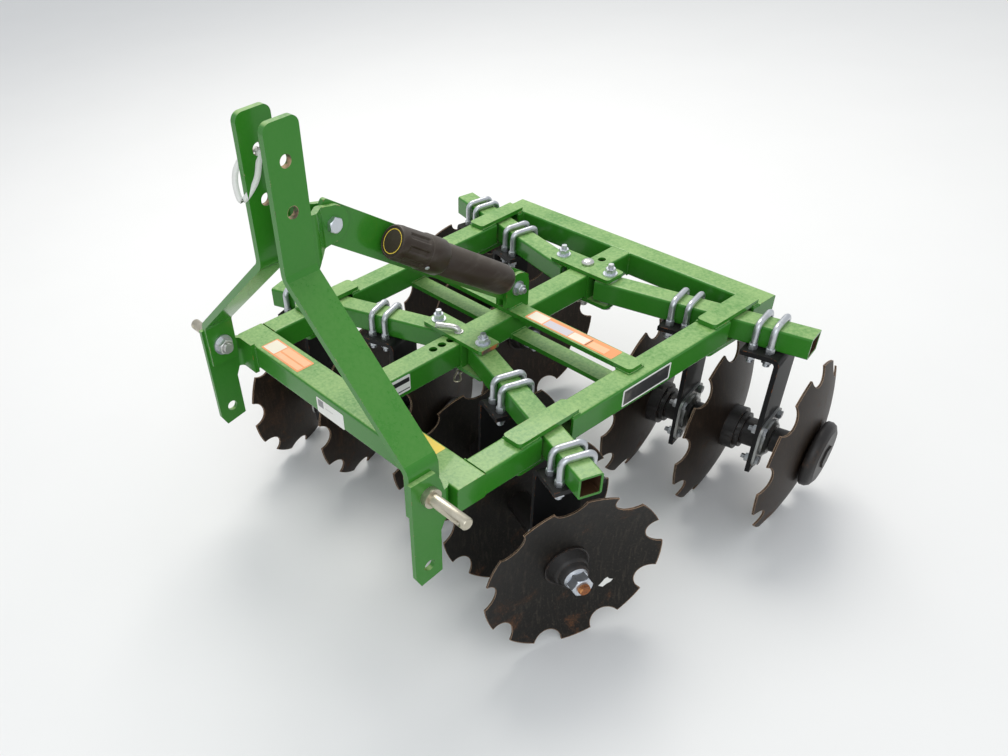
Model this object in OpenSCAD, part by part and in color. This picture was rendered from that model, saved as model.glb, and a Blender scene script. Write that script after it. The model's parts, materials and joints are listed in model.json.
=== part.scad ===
// Compact tandem disc harrow, carried on a three-point hitch.
// Millimetres. +Z is up, -Y is forward towards the tractor, +X is the left side.
// Heights are counted from the top of the frame, lengths from the front face of its front tube.

/* [Discs] */
// Diameter of a disc over its teeth
disc_d = 356; // [340:1:372]
// Thickness of a disc
disc_t = 3.8; // [3:0.1:5]
// Dish of a disc, from its flat hub to its rim
disc_dish = 30; // [25:1:45]
// Radius of the flat hub of a disc
disc_flat_r = 49; // [48:0.5:60]
// Number of notches round a disc
notch_count = 9; // [7:1:10]
// Radius of a notch
notch_r = 31; // [22:1:33]
// Depth of a notch
notch_depth = 27; // [15:1:30]
// Turn of the front discs on their axles, in degrees
front_disc_turn = 6.5; // [-8:0.5:8]

/* [Frame] */
// Width over the side rails
frame_w = 680; // [660:1:720]
// Length over the front and rear tubes
frame_l = 834; // [830:1:880]
// Side of a square frame tube
tube = 50.8; // [50:0.1:56]
// Depth of the front tube from front to back
front_tube_y = 63.5; // [50:0.5:76]
// Wall of a frame tube
tube_wall = 4.8; // [3:0.1:6.4]
// Corner radius of a frame tube
tube_corner = 5; // [3:0.5:8]
// Height of the frame's top above the disc axles
axle_drop = 256; // [250:1:280]

/* [Slots in the side rails] */
// Where the front beam crosses the middle of the rail
front_cross_y = 231; // [228:0.5:234]
// Where the rear beam crosses the middle of the rail, ahead of the frame's rear face
rear_cross_ahead = 102.5; // [101:0.5:105]
// Length of the front slot
front_slot_l = 76; // [76:1:84]
// Length of the rear slot
rear_slot_l = 70; // [69:1:76]
// Width of the plate over a slot
slot_plate_w = 42; // [36:1:46]
// Thickness of the plate over a slot
slot_plate_t = 9.5; // [6:0.5:10]
// Reach of a front slot plate ahead of the slot
front_plate_ahead = 49; // [30:1:60]
// Reach of a slot plate past the slot on its inner end
slot_plate_past = 22; // [15:1:30]
// Corner radius of a slot plate
slot_plate_r = 8; // [3:1:12]

/* [Straps] */
// Front edge of the cross straps
strap_y = 434; // [425:1:445]
// Width of a strap
strap_w = 38; // [30:1:44]
// Thickness of a strap
strap_t = 9.5; // [6:0.5:12]
// Gap from the end of the upper strap to the outside of the frame
strap_inset = 20; // [10:1:30]

/* [Angle brackets] */
// Distance of a pivot bolt from the centre line
bolt_x = 64; // [63:0.5:68]
// Pivot bolts of the front bracket behind the front tube's face
front_bolt_y = 317; // [315:0.5:319]
// Pivot bolts of the rear bracket ahead of the frame's rear face
rear_bolt_ahead = 158; // [156:0.5:160]
// Diameter of a pivot bolt
bolt_d = 19; // [16:0.5:20]
// Half width of the front bracket's plates
front_bracket_half = 85; // [82:1:90]
// Half width of the rear bracket's plates
rear_bracket_half = 80; // [80:1:90]
// Length of a bracket plate along the frame
bracket_l = 50; // [44:1:56]
// Thickness of a bracket plate
bracket_t = 8; // [6:0.5:10]
// Thickness of a bracket's side wall
bracket_side_t = 5; // [3:0.5:5.5]
// Gap between a bracket and the tube that it slides on
slide_gap = 0.4; // [0.3:0.05:0.5]
// Diameter of an adjusting pin
adjust_pin_d = 16; // [14:0.5:16.5]
// Pitch of the holes for the adjusting pins
hole_pitch = 22.5; // [20:0.5:24]
// Offset of an adjusting pin from the pivot bolts
adjust_pin_offset = 4; // [0:0.5:8]

/* [Gang beams] */
// Side of a square gang beam
beam = 44.5; // [42:0.1:45]
// Wall of a gang beam
beam_wall = 4; // [3:0.1:5]
// Reach of a beam inside its pivot bolt
beam_inner = 22; // [18:0.5:24]
// Reach of a front beam outside the middle of the rail
front_beam_past = 153; // [145:1:165]
// Reach of a rear beam outside the middle of the rail
rear_beam_past = 161; // [155:1:175]

/* [Hangers] */
// Width of a hanger's flat bar
hanger_w = 94; // [88:1:96]
// Thickness of a hanger's flat bar
hanger_t = 9.5; // [8:0.5:12]
// Length of a hanger's foot along the beam
hanger_foot = 72; // [68:1:80]
// Inner radius of a hanger's bend
hanger_bend = 7; // [6:0.5:7]
// Reach of a hanger below the axle
hanger_below = 64; // [60:1:95]
// Inner leg of the front gang, outside its pivot bolt
front_inner_leg = 90; // [88:0.5:92]
// Outer leg of the front gang, outside the middle of the rail
front_outer_leg = 52; // [50:0.5:54]
// Inner leg of the rear gang, inside the middle of the rail
rear_inner_leg = 48; // [46:0.5:50]
// Outer leg of the rear gang, outside the middle of the rail
rear_outer_leg = 119; // [117:0.5:121]
// Diameter of a U-bolt's rod
ubolt_rod = 12.7; // [10:0.1:12.7]
// Centre-line radius of a U-bolt's shoulders
ubolt_bend = 12.5; // [12:0.5:14]
// Gap between a U-bolt's leg and the side of the beam
ubolt_gap = 1.4; // [1:0.1:4]
// Distance between the two U-bolts of a hanger
ubolt_pitch = 32; // [28:1:36]
// Distance of the U-bolts' middle from the leg
ubolt_from_leg = 39; // [38.5:0.5:42]

/* [Gangs] */
// Inner disc of the front gang, outside its pivot bolt
front_first_disc = -12; // [-16:0.5:-10]
// Outer disc of the front gang, outside the middle of the rail
front_last_disc = 103; // [101:0.5:105]
// Inner disc of the rear gang, outside its pivot bolt
rear_first_disc = 141; // [139:0.5:143]
// Outer disc of the rear gang, outside the middle of the rail
rear_last_disc = 214; // [212:0.5:216]
// Diameter of the gang's shaft
shaft_d = 30; // [25:0.5:34]
// Diameter of a journal in its bearing
journal_d = 38; // [36:0.5:44]
// Clearance round a journal
journal_fit = 0.08; // [0.05:0.01:0.1]
// Diameter of the spool on a disc's hollow side
spool_d = 51; // [50:1:60]
// Diameter of the spool on a disc's round side
neck_d = 58; // [54:1:66]
// Diameter of the flange against a disc
flange_d = 90; // [80:1:96]
// Length of the flange against a disc
flange_l = 24; // [12:1:28]
// Diameter of the step behind a flange
step_d = 74; // [70:1:80]
// Length of the step behind a flange
step_l = 10; // [6:1:14]
// Diameter of the bumper at the end of a gang
bumper_d = 134; // [124:1:150]
// Thickness of a front bumper
front_bumper_t = 18; // [14:0.5:18]
// Thickness of a rear bumper
rear_bumper_t = 24; // [20:1:34]

/* [Bearings] */
// Side of a bearing's flange
bearing_w = 104; // [98:1:108]
// Thickness of a bearing's flange
bearing_flange_t = 5; // [4:0.5:8]
// Diameter of a bearing's housing
housing_d = 78; // [70:1:86]
// Length of a bearing
bearing_l = 15; // [14:1:24]
// Gap between a bearing or a leg and the spool beside it
spool_gap = 2; // [1:0.5:3]

/* [Hitch] */
// Height of the lower hitch pins above the frame's top
pin_z = 15; // [12:1:18]
// Distance of the hitch pins ahead of the frame
pin_ahead = 52; // [48:1:56]
// Diameter of a lower hitch pin
pin_d = 22.2; // [20:0.1:24]
// Length of a lower hitch pin outside its shoulder
pin_l = 80; // [70:1:90]
// Distance between the outer faces of the hitch lugs
lug_span = 660; // [640:1:680]
// Thickness of a hitch lug
lug_t = 9.5; // [8:0.5:12]
// Height of the mast's lower hole above the lower hitch pins
mast_lower = 381; // [370:1:390]
// Height of the mast's upper hole above the lower hitch pins
mast_upper = 457; // [450:1:470]
// Reach of an upright above its upper hole
mast_past = 58; // [48:1:66]
// Diameter of the mast's holes
mast_hole_d = 19.5; // [19:0.1:26]
// Gap between the two uprights at the mast's holes
mast_gap = 60; // [50:1:70]
// Width of an upright's flat bar
upright_w = 62; // [56:1:66]
// Thickness of an upright's flat bar
upright_t = 12.7; // [10:0.1:14]

/* [Brace] */
// Height of the brace's front bolt above the frame's top
brace_top_z = 337; // [330:1:345]
// Distance of the brace's front bolt behind the front tube's face
brace_top_y = 36; // [30:1:42]
// Height of the brace's rear bolt above the frame's top
brace_foot_z = 49; // [46:1:54]
// Width of the brace's flat bar
brace_w = 63.5; // [56:0.5:66]
// Thickness of the brace's flat bar
brace_t = 10; // [8:0.5:12]
// Reach of the brace past its bolts
brace_past = 28; // [24:1:31]
// Diameter of the brace's bolts
brace_bolt_d = 16; // [12:0.5:20]

/* [Manual canister] */
// Diameter of the canister
can_d = 57; // [50:1:64]
// Diameter of its screw cap
cap_d = 62; // [56:1:70]
// Length of the canister with its cap
can_l = 333; // [300:1:350]
// Length of its cap
cap_l = 42; // [30:1:50]

/* [Hidden] */
$fn = 64;

green = [0.21, 0.49, 0.17];
black = [0.10, 0.10, 0.11];
zinc = [0.70, 0.72, 0.74];
yellow_zinc = [0.75, 0.65, 0.38];
cast_grey = [0.30, 0.33, 0.38];
disc_brown = [0.30, 0.20, 0.13];
plastic_grey = [0.25, 0.24, 0.22];

LEFT = 1;
RIGHT = -1;
FRONT = 0;
REAR = 1;

// Heights and lengths of the frame
frame_top = disc_d / 2 + axle_drop;
rail_x = (frame_w - tube) / 2;
tube_z = -tube / 2;
front_slot_y0 = front_cross_y - front_slot_l / 2;
front_slot_y1 = front_slot_y0 + front_slot_l;
rear_cross_y = frame_l - rear_cross_ahead;
rear_slot_y0 = rear_cross_y - rear_slot_l / 2;
rear_slot_y1 = rear_slot_y0 + rear_slot_l;
rear_tube_y0 = frame_l - tube;
rear_bolt_y = frame_l - rear_bolt_ahead;
bolt_y = [front_bolt_y, rear_bolt_y];
// Angles of the front and rear gangs in plan
gang_angle = [
  atan((front_cross_y - front_bolt_y) / (rail_x - bolt_x)),
  atan((rear_cross_y - rear_bolt_y) / (rail_x - bolt_x)),
];
// Middle of the rail, and places of the discs and legs, along each gang from its pivot bolt
rail_u = [for (angle = gang_angle) (rail_x - bolt_x) / cos(angle)];
disc_count = 3;
function spread(first, last) = [for (k = [0:disc_count - 1]) first + (last - first) * k / (disc_count - 1)];
disc_u = [
  spread(front_first_disc, rail_u[FRONT] + front_last_disc),
  spread(rear_first_disc, rail_u[REAR] + rear_last_disc),
];
leg_u = [
  [front_inner_leg, rail_u[FRONT] + front_outer_leg],
  [rail_u[REAR] - rear_inner_leg, rail_u[REAR] + rear_outer_leg],
];
beam_outer = [rail_u[FRONT] + front_beam_past, rail_u[REAR] + rear_beam_past];
// Side of a hanger's leg on which its foot lies, side to which the discs' hollows face, and their turn
foot_side = [1, -1];
hollow_side = [1, -1];
disc_turn = [front_disc_turn, 0];

// Heights of the beams and hangers
beam_z = tube_z;
beam_bottom = beam_z - beam / 2;
foot_z = beam_bottom - hanger_t / 2;
axle_z = -axle_drop;
ubolt_t = beam / 2 + ubolt_gap + ubolt_rod / 2;
ubolt_top = beam_z + beam / 2 + ubolt_rod / 2;
nut_h = 11;
nut_flats = 19;
thread_past = 8;
hole_gap = 0.25;

// Hitch and mast
pin_y = -pin_ahead;
upright_x = lug_span / 2 - lug_t - upright_t / 2;
mast_x = (mast_gap + upright_t) / 2;
mast_top = pin_z + mast_upper + mast_past;
mast_bend_z = 295;
lower_bend_z = 67;
upright_foot = -25;
foot_from_strap_back = 14;
brace_foot_y = strap_y + strap_w - foot_from_strap_back;
brace_slope = atan((brace_foot_z - brace_top_z) / (brace_foot_y - brace_top_y));

// Front and rear ends of the machine, for the origin in the middle of its length
lug_front = 35;
rim_u = disc_u[REAR][disc_count - 1] - disc_dish;
y_front = pin_y - lug_front;
y_rear = rear_bolt_y + rim_u * sin(gang_angle[REAR]) + disc_d / 2 * cos(gang_angle[REAR]);
y_middle = (y_front + y_rear) / 2;

// Shapes in common
module rounded(w, h, r) {
  square([w - 2 * r, h], center = true);
  square([w, h - 2 * r], center = true);
  for (x = [-1, 1], y = [-1, 1])
    translate([x * (w / 2 - r), y * (h / 2 - r)]) circle(r);
}

module tube_section(w, h, wall, r) {
  difference() {
    rounded(w, h, r);
    rounded(w - 2 * wall, h - 2 * wall, max(r - wall, 1));
  }
}

// Extrusions of a (Y, Z), an (X, Z) and an (X, Y) outline
module along_x(x0, x1) {
  translate([x0, 0, 0]) rotate([90, 0, 90]) linear_extrude(x1 - x0) children();
}

module along_y(y0, y1) {
  translate([0, y1, 0]) rotate([90, 0, 0]) linear_extrude(y1 - y0) children();
}

module along_z(z0, z1) {
  translate([0, 0, z0]) linear_extrude(z1 - z0) children();
}

module both_sides() {
  for (m = [0, 1]) mirror([m, 0, 0]) children();
}

// The whole machine stands on the ground, with the origin in the middle of its length
module placed() {
  translate([0, -y_middle, frame_top]) children();
}

function unit(v) = v / norm(v);
function left_of(v) = [-v.y, v.x];
function turned(a, b) = sign(a.x * b.y - a.y * b.x);

// Points on one side of a bent bar, at an offset to the left of its path
function spun(v, angle) = [v.x * cos(angle) - v.y * sin(angle), v.x * sin(angle) + v.y * cos(angle)];
function corner(path, i, off, mid, steps) =
  let (a = unit(path[i] - path[i - 1]), b = unit(path[i + 1] - path[i]))
  let (way = turned(a, b), angle = acos(a * b), cut = mid * tan(angle / 2))
  let (centre = path[i] - a * cut + left_of(a) * way * mid)
  [for (k = [0:steps]) centre - spun(left_of(a), way * angle * k / steps) * way * (mid - way * off)];
function bar_side(path, off, mid, steps) =
  let (last = len(path) - 1)
  [
    path[0] + left_of(unit(path[1] - path[0])) * off,
    for (i = [1:last - 1]) each corner(path, i, off, mid, steps),
    path[last] + left_of(unit(path[last] - path[last - 1])) * off,
  ];
function backwards(points) = [for (i = [len(points) - 1:-1:0]) points[i]];

// Flat bar of thickness t, bent along a path of straight runs, as a 2D outline
module bent_bar(path, t, bend) {
  steps = 8;
  mid = bend + t / 2;
  polygon(concat(bar_side(path, t / 2, mid, steps), backwards(bar_side(path, -t / 2, mid, steps))));
}

// Hexagon with its flats across the given width
module hexagon(flats) {
  rotate(30) circle(d = flats / cos(30), $fn = 6);
}

// Frame
module front_tube() {
  color(green) placed() along_x(-frame_w / 2, frame_w / 2) translate([front_tube_y / 2, tube_z])
    tube_section(front_tube_y, tube, tube_wall, tube_corner);
}

module rear_tube() {
  color(green) placed() along_x(-frame_w / 2, frame_w / 2) translate([frame_l - tube / 2, tube_z])
    tube_section(tube, tube, tube_wall, tube_corner);
}

module pin_holes() {
  for (k = [0:3]) translate([0, front_bolt_y - adjust_pin_offset - k * hole_pitch, -tube - 1])
    cylinder(d = adjust_pin_d + 1, h = tube + 2);
  for (k = [0:2]) translate([0, rear_bolt_y + adjust_pin_offset + k * hole_pitch, -tube - 1])
    cylinder(d = adjust_pin_d + 1, h = tube + 2);
}

module centre_tube() {
  color(green) placed() difference() {
    along_y(front_tube_y, rear_tube_y0) translate([0, tube_z])
      tube_section(tube, tube, tube_wall, tube_corner);
    pin_holes();
  }
}

module side_rails() {
  // columns: front end, rear end
  runs = [[front_tube_y, front_slot_y0], [front_slot_y1, rear_slot_y0], [rear_slot_y1, rear_tube_y0]];
  color(green) placed() both_sides() for (run = runs)
    along_y(run[0], run[1]) translate([rail_x, tube_z]) tube_section(tube, tube, tube_wall, tube_corner);
}

// Plate over a slot, with round corners on its free ends
module slot_plate(y0, y1, square_end) {
  translate([rail_x, (y0 + y1) / 2]) rounded(slot_plate_w, y1 - y0, slot_plate_r);
  if (square_end) translate([rail_x - slot_plate_w / 2, y1 - slot_plate_w / 2])
    square([slot_plate_w, slot_plate_w / 2]);
}

module slot_plates() {
  color(green) placed() both_sides() for (z = [0, -tube - slot_plate_t]) along_z(z, z + slot_plate_t) {
    slot_plate(front_slot_y0 - front_plate_ahead, front_slot_y1 + slot_plate_past, false);
    slot_plate(rear_slot_y0 - 2 * slot_plate_past, rear_tube_y0, true);
  }
}

module upper_strap() {
  color(green) placed() along_z(0, strap_t) translate([0, strap_y + strap_w / 2])
    rounded(frame_w - 2 * strap_inset, strap_w, strap_w / 4);
}

module lower_strap() {
  color(green) placed() both_sides() translate([tube / 2, strap_y, -tube])
    cube([rail_x - tube, strap_w, strap_t]);
}

// Hitch: a lug plate at each end of the front tube, its flange bent onto the tube
lug_top = pin_z + 38;
lug_bottom = -182;
lower_hole_z = -143;
lower_hole_y = pin_y - 4;
flange_bend = 9.5;
lug_x = lug_span / 2 - lug_t / 2;
lug_flange_l = 55;
// How far the flange reaches above and below the front tube
flange_over = 8;
bend_y = -lug_t - flange_bend;

module lug_outline() {
  polygon([
    [y_front, lug_top], [pin_y + 16, lug_top], [pin_y + 26, lug_top - 20], [bend_y, flange_over],
    [bend_y, -tube - flange_over], [pin_y + 24, -tube - 26], [pin_y + 24, lug_bottom + 9],
    [pin_y - 24, lug_bottom], [y_front, lug_bottom + 22],
  ]);
}

module hitch_lugs() {
  color(green) placed() both_sides() difference() {
    union() {
      along_x(lug_span / 2 - lug_t, lug_span / 2) lug_outline();
      along_z(-tube - flange_over, flange_over)
        bent_bar([[lug_x, bend_y], [lug_x, -lug_t / 2], [lug_x - lug_flange_l, -lug_t / 2]], lug_t, flange_bend);
    }
    translate([0, pin_y, pin_z]) rotate([0, 90, 0]) cylinder(d = pin_d + 2 * hole_gap, h = frame_w);
    translate([0, lower_hole_y, lower_hole_z]) rotate([0, 90, 0]) cylinder(d = pin_d + 0.3, h = frame_w);
  }
}

shoulder_t = 11.5;
shoulder_d = 35;
pin_nut_t = 19;
pin_nut_flats = 33;
pin_thread_past = 7;
module hitch_pins() {
  inner = upright_x - upright_t / 2;
  end = lug_span / 2 + shoulder_t + pin_l - 2;
  color(yellow_zinc) placed() both_sides() translate([0, pin_y, pin_z]) rotate([0, 90, 0]) difference() {
    union() {
      translate([0, 0, inner - pin_nut_t - pin_thread_past])
        cylinder(d = pin_d, h = end - inner + pin_nut_t + pin_thread_past);
      translate([0, 0, end]) cylinder(d1 = pin_d, d2 = pin_d - 4, h = 2);
      translate([0, 0, lug_span / 2]) cylinder(d = shoulder_d, h = shoulder_t);
      translate([0, 0, inner - pin_nut_t]) linear_extrude(pin_nut_t) hexagon(pin_nut_flats);
    }
    translate([0, 0, end - 12]) rotate([90, 0, 0])
      cylinder(d = 11, h = pin_d + 2, center = true);
  }
}

// Mast: two bent uprights with an ear each that takes the brace
ear_t = 10;
ear_r = 30;
module ear() {
  x = brace_t / 2 + ear_t / 2;
  y0 = pin_y + upright_w / 2;
  intersection() {
    along_z(brace_top_z - 60, brace_top_z + 60)
      bent_bar([[mast_x, y0 - 4], [mast_x, y0 + 8], [x, y0 + 34], [x, brace_top_y + ear_r]], ear_t, 8);
    along_x(0, mast_x + upright_t) union() {
      translate([brace_top_y, brace_top_z]) circle(ear_r);
      polygon([
        [y0 - 5, brace_top_z - 50], [y0 + 3, brace_top_z - 48], [y0 + 12, brace_top_z - 36],
        [brace_top_y, brace_top_z - ear_r], [brace_top_y, brace_top_z + ear_r],
        [y0 + 6, brace_top_z + 42], [y0 - 5, brace_top_z + 43],
      ]);
    }
  }
}

module upright() {
  path = [[mast_x, mast_top], [mast_x, mast_bend_z], [upright_x, lower_bend_z], [upright_x, upright_foot]];
  y0 = pin_y - upright_w / 2;
  top_r = 14;
  difference() {
    union() {
      along_y(y0, y0 + upright_w) bent_bar(path, upright_t, 14);
      ear();
    }
    // round corners at the top
    for (m = [0, 1]) translate([0, pin_y, mast_top]) mirror([0, m, 0]) difference() {
      translate([0, upright_w / 2 - top_r, -top_r]) cube([mast_x + upright_t, top_r + 1, top_r + 1]);
      translate([-1, upright_w / 2 - top_r, -top_r]) rotate([0, 90, 0])
        cylinder(r = top_r, h = mast_x + upright_t + 2);
    }
    for (h = [mast_lower, mast_upper]) translate([0, pin_y, pin_z + h]) rotate([0, 90, 0])
      cylinder(d = mast_hole_d, h = 2 * mast_x);
    translate([mast_x + upright_t, pin_y, pin_z]) rotate([0, 90, 0])
      cylinder(d = pin_d + 2 * hole_gap, h = frame_w);
    translate([-1, brace_top_y, brace_top_z]) rotate([0, 90, 0])
      cylinder(d = brace_bolt_d + 2 * hole_gap, h = mast_x);
  }
}

module mast_uprights() {
  color(green) placed() both_sides() upright();
}

// Brace: a flat bar on edge from the mast down to a bracket on the upper strap
module brace_bar() {
  l = norm([brace_foot_y - brace_top_y, brace_foot_z - brace_top_z]);
  color(green) placed() translate([0, brace_top_y, brace_top_z]) rotate([brace_slope, 0, 0]) difference() {
    along_x(-brace_t / 2, brace_t / 2) translate([l / 2, 0]) rounded(l + 2 * brace_past, brace_w, 6);
    for (y = [0, l]) translate([0, y, 0]) rotate([0, 90, 0])
      cylinder(d = brace_bolt_d + 2 * hole_gap, h = 2 * brace_t, center = true);
  }
}

bracket_lug_t = 9.5;
bracket_lug_r = 31;
module brace_bracket() {
  color(green) placed() both_sides() difference() {
    along_x(brace_t / 2, brace_t / 2 + bracket_lug_t) difference() {
      union() {
        translate([brace_foot_y, brace_foot_z]) circle(bracket_lug_r);
        translate([brace_foot_y - bracket_lug_r, 0]) square([2 * bracket_lug_r, brace_foot_z]);
      }
      // the base sits over the strap, with a round cope ahead of it
      translate([strap_y, -1]) square([strap_w, strap_t + 1]);
      translate([brace_foot_y - bracket_lug_r, 0]) circle(strap_t + 6);
      translate([strap_y - 20, -1]) square([20.5, strap_t + 1]);
    }
    translate([0, brace_foot_y, brace_foot_z]) rotate([0, 90, 0])
      cylinder(d = brace_bolt_d + 2 * hole_gap, h = 4 * brace_t);
  }
}

// Hex bolt along X through lugs of the given half width, with its nut
brace_head_flats = 24;
brace_head_t = 10;
brace_nut_t = 13;
brace_thread_past = 5;
module cross_bolt(half) {
  shank = 2 * half + brace_nut_t + brace_thread_past;
  rotate([0, 90, 0]) {
    translate([0, 0, half - shank]) cylinder(d = brace_bolt_d, h = shank + 2);
    translate([0, 0, half]) linear_extrude(brace_head_t) hexagon(brace_head_flats);
    translate([0, 0, -half - brace_nut_t]) linear_extrude(brace_nut_t) hexagon(brace_head_flats);
  }
}

module brace_bolts() {
  color(zinc) placed() {
    translate([0, brace_top_y, brace_top_z]) cross_bolt(brace_t / 2 + ear_t);
    translate([0, brace_foot_y, brace_foot_z]) cross_bolt(brace_t / 2 + bracket_lug_t);
  }
}

// Canister for papers beside the brace, with two feet against it
can_from_top = 113;
can_lift = 7;
foot_t = 4.5;
can_x = brace_t / 2 + foot_t + can_d / 2;
module can_axis() {
  placed() translate([0, brace_top_y, brace_top_z]) rotate([brace_slope, 0, 0])
    translate([can_x, can_from_top, can_lift]) rotate([-90, 0, 0]) children();
}

module manual_canister() {
  dome = can_d / 2;
  color(plastic_grey) can_axis() {
    translate([0, 0, cap_l]) cylinder(d = can_d, h = can_l - cap_l - dome);
    translate([0, 0, can_l - dome]) sphere(dome);
    for (z = [cap_l + 40, can_l - 80]) translate([-can_d / 2 - foot_t, -14, z])
      cube([can_d / 2, 28, 26]);
  }
}

module canister_cap() {
  grooves = 24;
  color(plastic_grey) can_axis() difference() {
    cylinder(d = cap_d, h = cap_l);
    for (k = [0:grooves - 1]) rotate(k * 360 / grooves) translate([cap_d / 2 + 0.6, 0, 4])
      cylinder(d = 4, h = cap_l - 12);
  }
}

// Angle brackets: a sleeve that slides on the centre tube and carries the beams' pivot bolts
module angle_bracket(i, half) {
  top = slide_gap;
  bottom = -tube - slide_gap;
  wall_x = tube / 2 + slide_gap;
  color(green) placed() translate([0, bolt_y[i], 0]) difference() {
    union() {
      for (z = [top, bottom - bracket_t]) along_z(z, z + bracket_t) rounded(2 * half, bracket_l, 6);
      both_sides() translate([wall_x, -bracket_l / 2, bottom]) cube([bracket_side_t, bracket_l, top - bottom]);
    }
    for (x = [-bolt_x, bolt_x]) translate([x, 0, bottom - bracket_t - 1])
      cylinder(d = bolt_d + 2 * hole_gap, h = tube + 4 * bracket_t);
    translate([0, (i == FRONT ? -1 : 1) * adjust_pin_offset, bottom - bracket_t - 1])
      cylinder(d = adjust_pin_d + 2 * hole_gap, h = tube + 4 * bracket_t);
  }
}

// Pivot bolts, each with a spacer above and below the beam, a large washer and a nut on top
washer_d = 44;
washer_t = 4;
module pivot_bolts(i) {
  top = slide_gap + bracket_t;
  bottom = -tube - slide_gap - bracket_t;
  beam_gap = 0.3;
  spacer = (tube - beam) / 2 + slide_gap - beam_gap;
  color(zinc) placed() both_sides() translate([bolt_x, bolt_y[i], 0]) {
    translate([0, 0, bottom - 6]) cylinder(d = bolt_d, h = top - bottom + washer_t + 6 + 20);
    translate([0, 0, bottom - 12]) linear_extrude(12) hexagon(28.6);
    translate([0, 0, top]) cylinder(d = washer_d, h = washer_t);
    translate([0, 0, top + washer_t]) linear_extrude(15) hexagon(28.6);
    for (z = [slide_gap - spacer, -tube - slide_gap]) translate([0, 0, z]) cylinder(d = 34, h = spacer);
  }
}

// Adjusting pin: its two ends stand in the bracket, clear of the centre tube that it locks
module adjusting_pin(i) {
  top = slide_gap + bracket_t;
  bottom = -tube - slide_gap - bracket_t;
  ring = 12;
  color(yellow_zinc) placed()
    translate([0, bolt_y[i] + (i == FRONT ? -1 : 1) * adjust_pin_offset, 0]) {
      translate([0, 0, slide_gap]) cylinder(d = adjust_pin_d, h = bracket_t + (i == FRONT ? 12 : 4));
      if (i == FRONT) {
        translate([0, 0, top]) cylinder(d = 24, h = 5);
        translate([0, 0, top + 10]) rotate([0, -90, 35]) cylinder(d = 11, h = 44);
      } else {
        translate([0, 0, top]) cylinder(d = 26, h = 9);
      }
      translate([0, 0, bottom - 20]) cylinder(d = adjust_pin_d, h = 20 + bracket_t);
      translate([0, 0, bottom - 15]) rotate([0, 90, 0]) rotate_extrude() translate([ring, 0]) circle(d = 3.4);
    }
}

// Gangs: a beam, its hangers and a turning axle of three discs, in the beam's own axes
module at_gang(i, side) {
  placed() mirror([side == LEFT ? 0 : 1, 0, 0])
    translate([bolt_x, bolt_y[i], 0]) rotate([0, 0, gang_angle[i]]) children();
}

module gang_beam(i, side) {
  pivot_fit = 0.08;
  color(green) at_gang(i, side) difference() {
    along_x(-beam_inner, beam_outer[i]) translate([0, beam_z])
      tube_section(beam, beam, beam_wall, min(tube_corner, beam / 8));
    translate([0, 0, -tube]) cylinder(d = bolt_d + 2 * pivot_fit, h = tube);
  }
}

module hanger(i, leg) {
  foot = foot_side[i];
  difference() {
    along_y(-hanger_w / 2, hanger_w / 2)
      bent_bar([[leg + foot * hanger_foot, foot_z], [leg, foot_z], [leg, axle_z - hanger_below]],
               hanger_t, hanger_bend);
    for (k = [-1, 1], t = [-1, 1])
      translate([leg + foot * ubolt_from_leg + k * ubolt_pitch / 2, t * ubolt_t, foot_z])
        cylinder(d = ubolt_rod + 2 * hole_gap, h = 2 * hanger_t, center = true);
    translate([leg, 0, axle_z]) rotate([0, 90, 0])
      cylinder(d = journal_d + 12, h = 3 * hanger_t, center = true);
  }
}

module hangers(i, side) {
  color(black) at_gang(i, side) for (leg = leg_u[i]) hanger(i, leg);
}

// Square-shouldered U-bolt over the beam, in the (Y, Z) plane, with its two nuts
module u_bolt() {
  straight = ubolt_t - ubolt_bend;
  foot = beam_bottom - hanger_t;
  thread = foot - nut_h - thread_past;
  translate([0, -straight, ubolt_top]) rotate([-90, 0, 0]) cylinder(d = ubolt_rod, h = 2 * straight);
  for (m = [0, 1]) mirror([0, m, 0]) {
    translate([0, ubolt_t, thread]) cylinder(d = ubolt_rod, h = ubolt_top - ubolt_bend - thread);
    translate([0, straight, ubolt_top - ubolt_bend]) rotate([90, 0, 90])
      rotate_extrude(angle = 90) translate([ubolt_bend, 0]) circle(d = ubolt_rod);
    translate([0, ubolt_t, foot - nut_h]) linear_extrude(nut_h) hexagon(nut_flats);
  }
}

module u_bolts(i, side) {
  color(zinc) at_gang(i, side) for (leg = leg_u[i], k = [-1, 1])
    translate([leg + foot_side[i] * ubolt_from_leg + k * ubolt_pitch / 2, 0, 0]) u_bolt();
}

// Flange bearing on the outer face of a leg
module bearing() {
  step = 6;
  difference() {
    union() {
      linear_extrude(bearing_flange_t) rounded(bearing_w, bearing_w, 22);
      cylinder(d = housing_d, h = bearing_l - step);
      translate([0, 0, bearing_l - step]) cylinder(d1 = housing_d, d2 = housing_d - 14, h = step);
    }
    translate([0, 0, -1]) cylinder(d = journal_d + 2 * journal_fit, h = bearing_l + 2);
  }
}

module bearings(i, side) {
  color(cast_grey) at_gang(i, side) for (leg = leg_u[i])
    translate([leg + hanger_t / 2, 0, axle_z]) rotate([0, 90, 0]) bearing();
}

// Round length of the axle from u0 to u1
module round_bar(u0, u1, d, d_end = 0) {
  translate([u0, 0, axle_z]) rotate([0, 90, 0]) cylinder(d1 = d, d2 = d_end > 0 ? d_end : d, h = u1 - u0);
}

module bumper(u0, t, side) {
  r = bumper_d / 2;
  translate([u0, 0, axle_z]) rotate([0, side * 90, 0]) rotate_extrude()
    polygon([[0, 0], [r - 3, 0], [r, 3], [r, t * 0.5], [r - 4, t * 0.78], [r - 14, t], [0, t]]);
}

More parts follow.
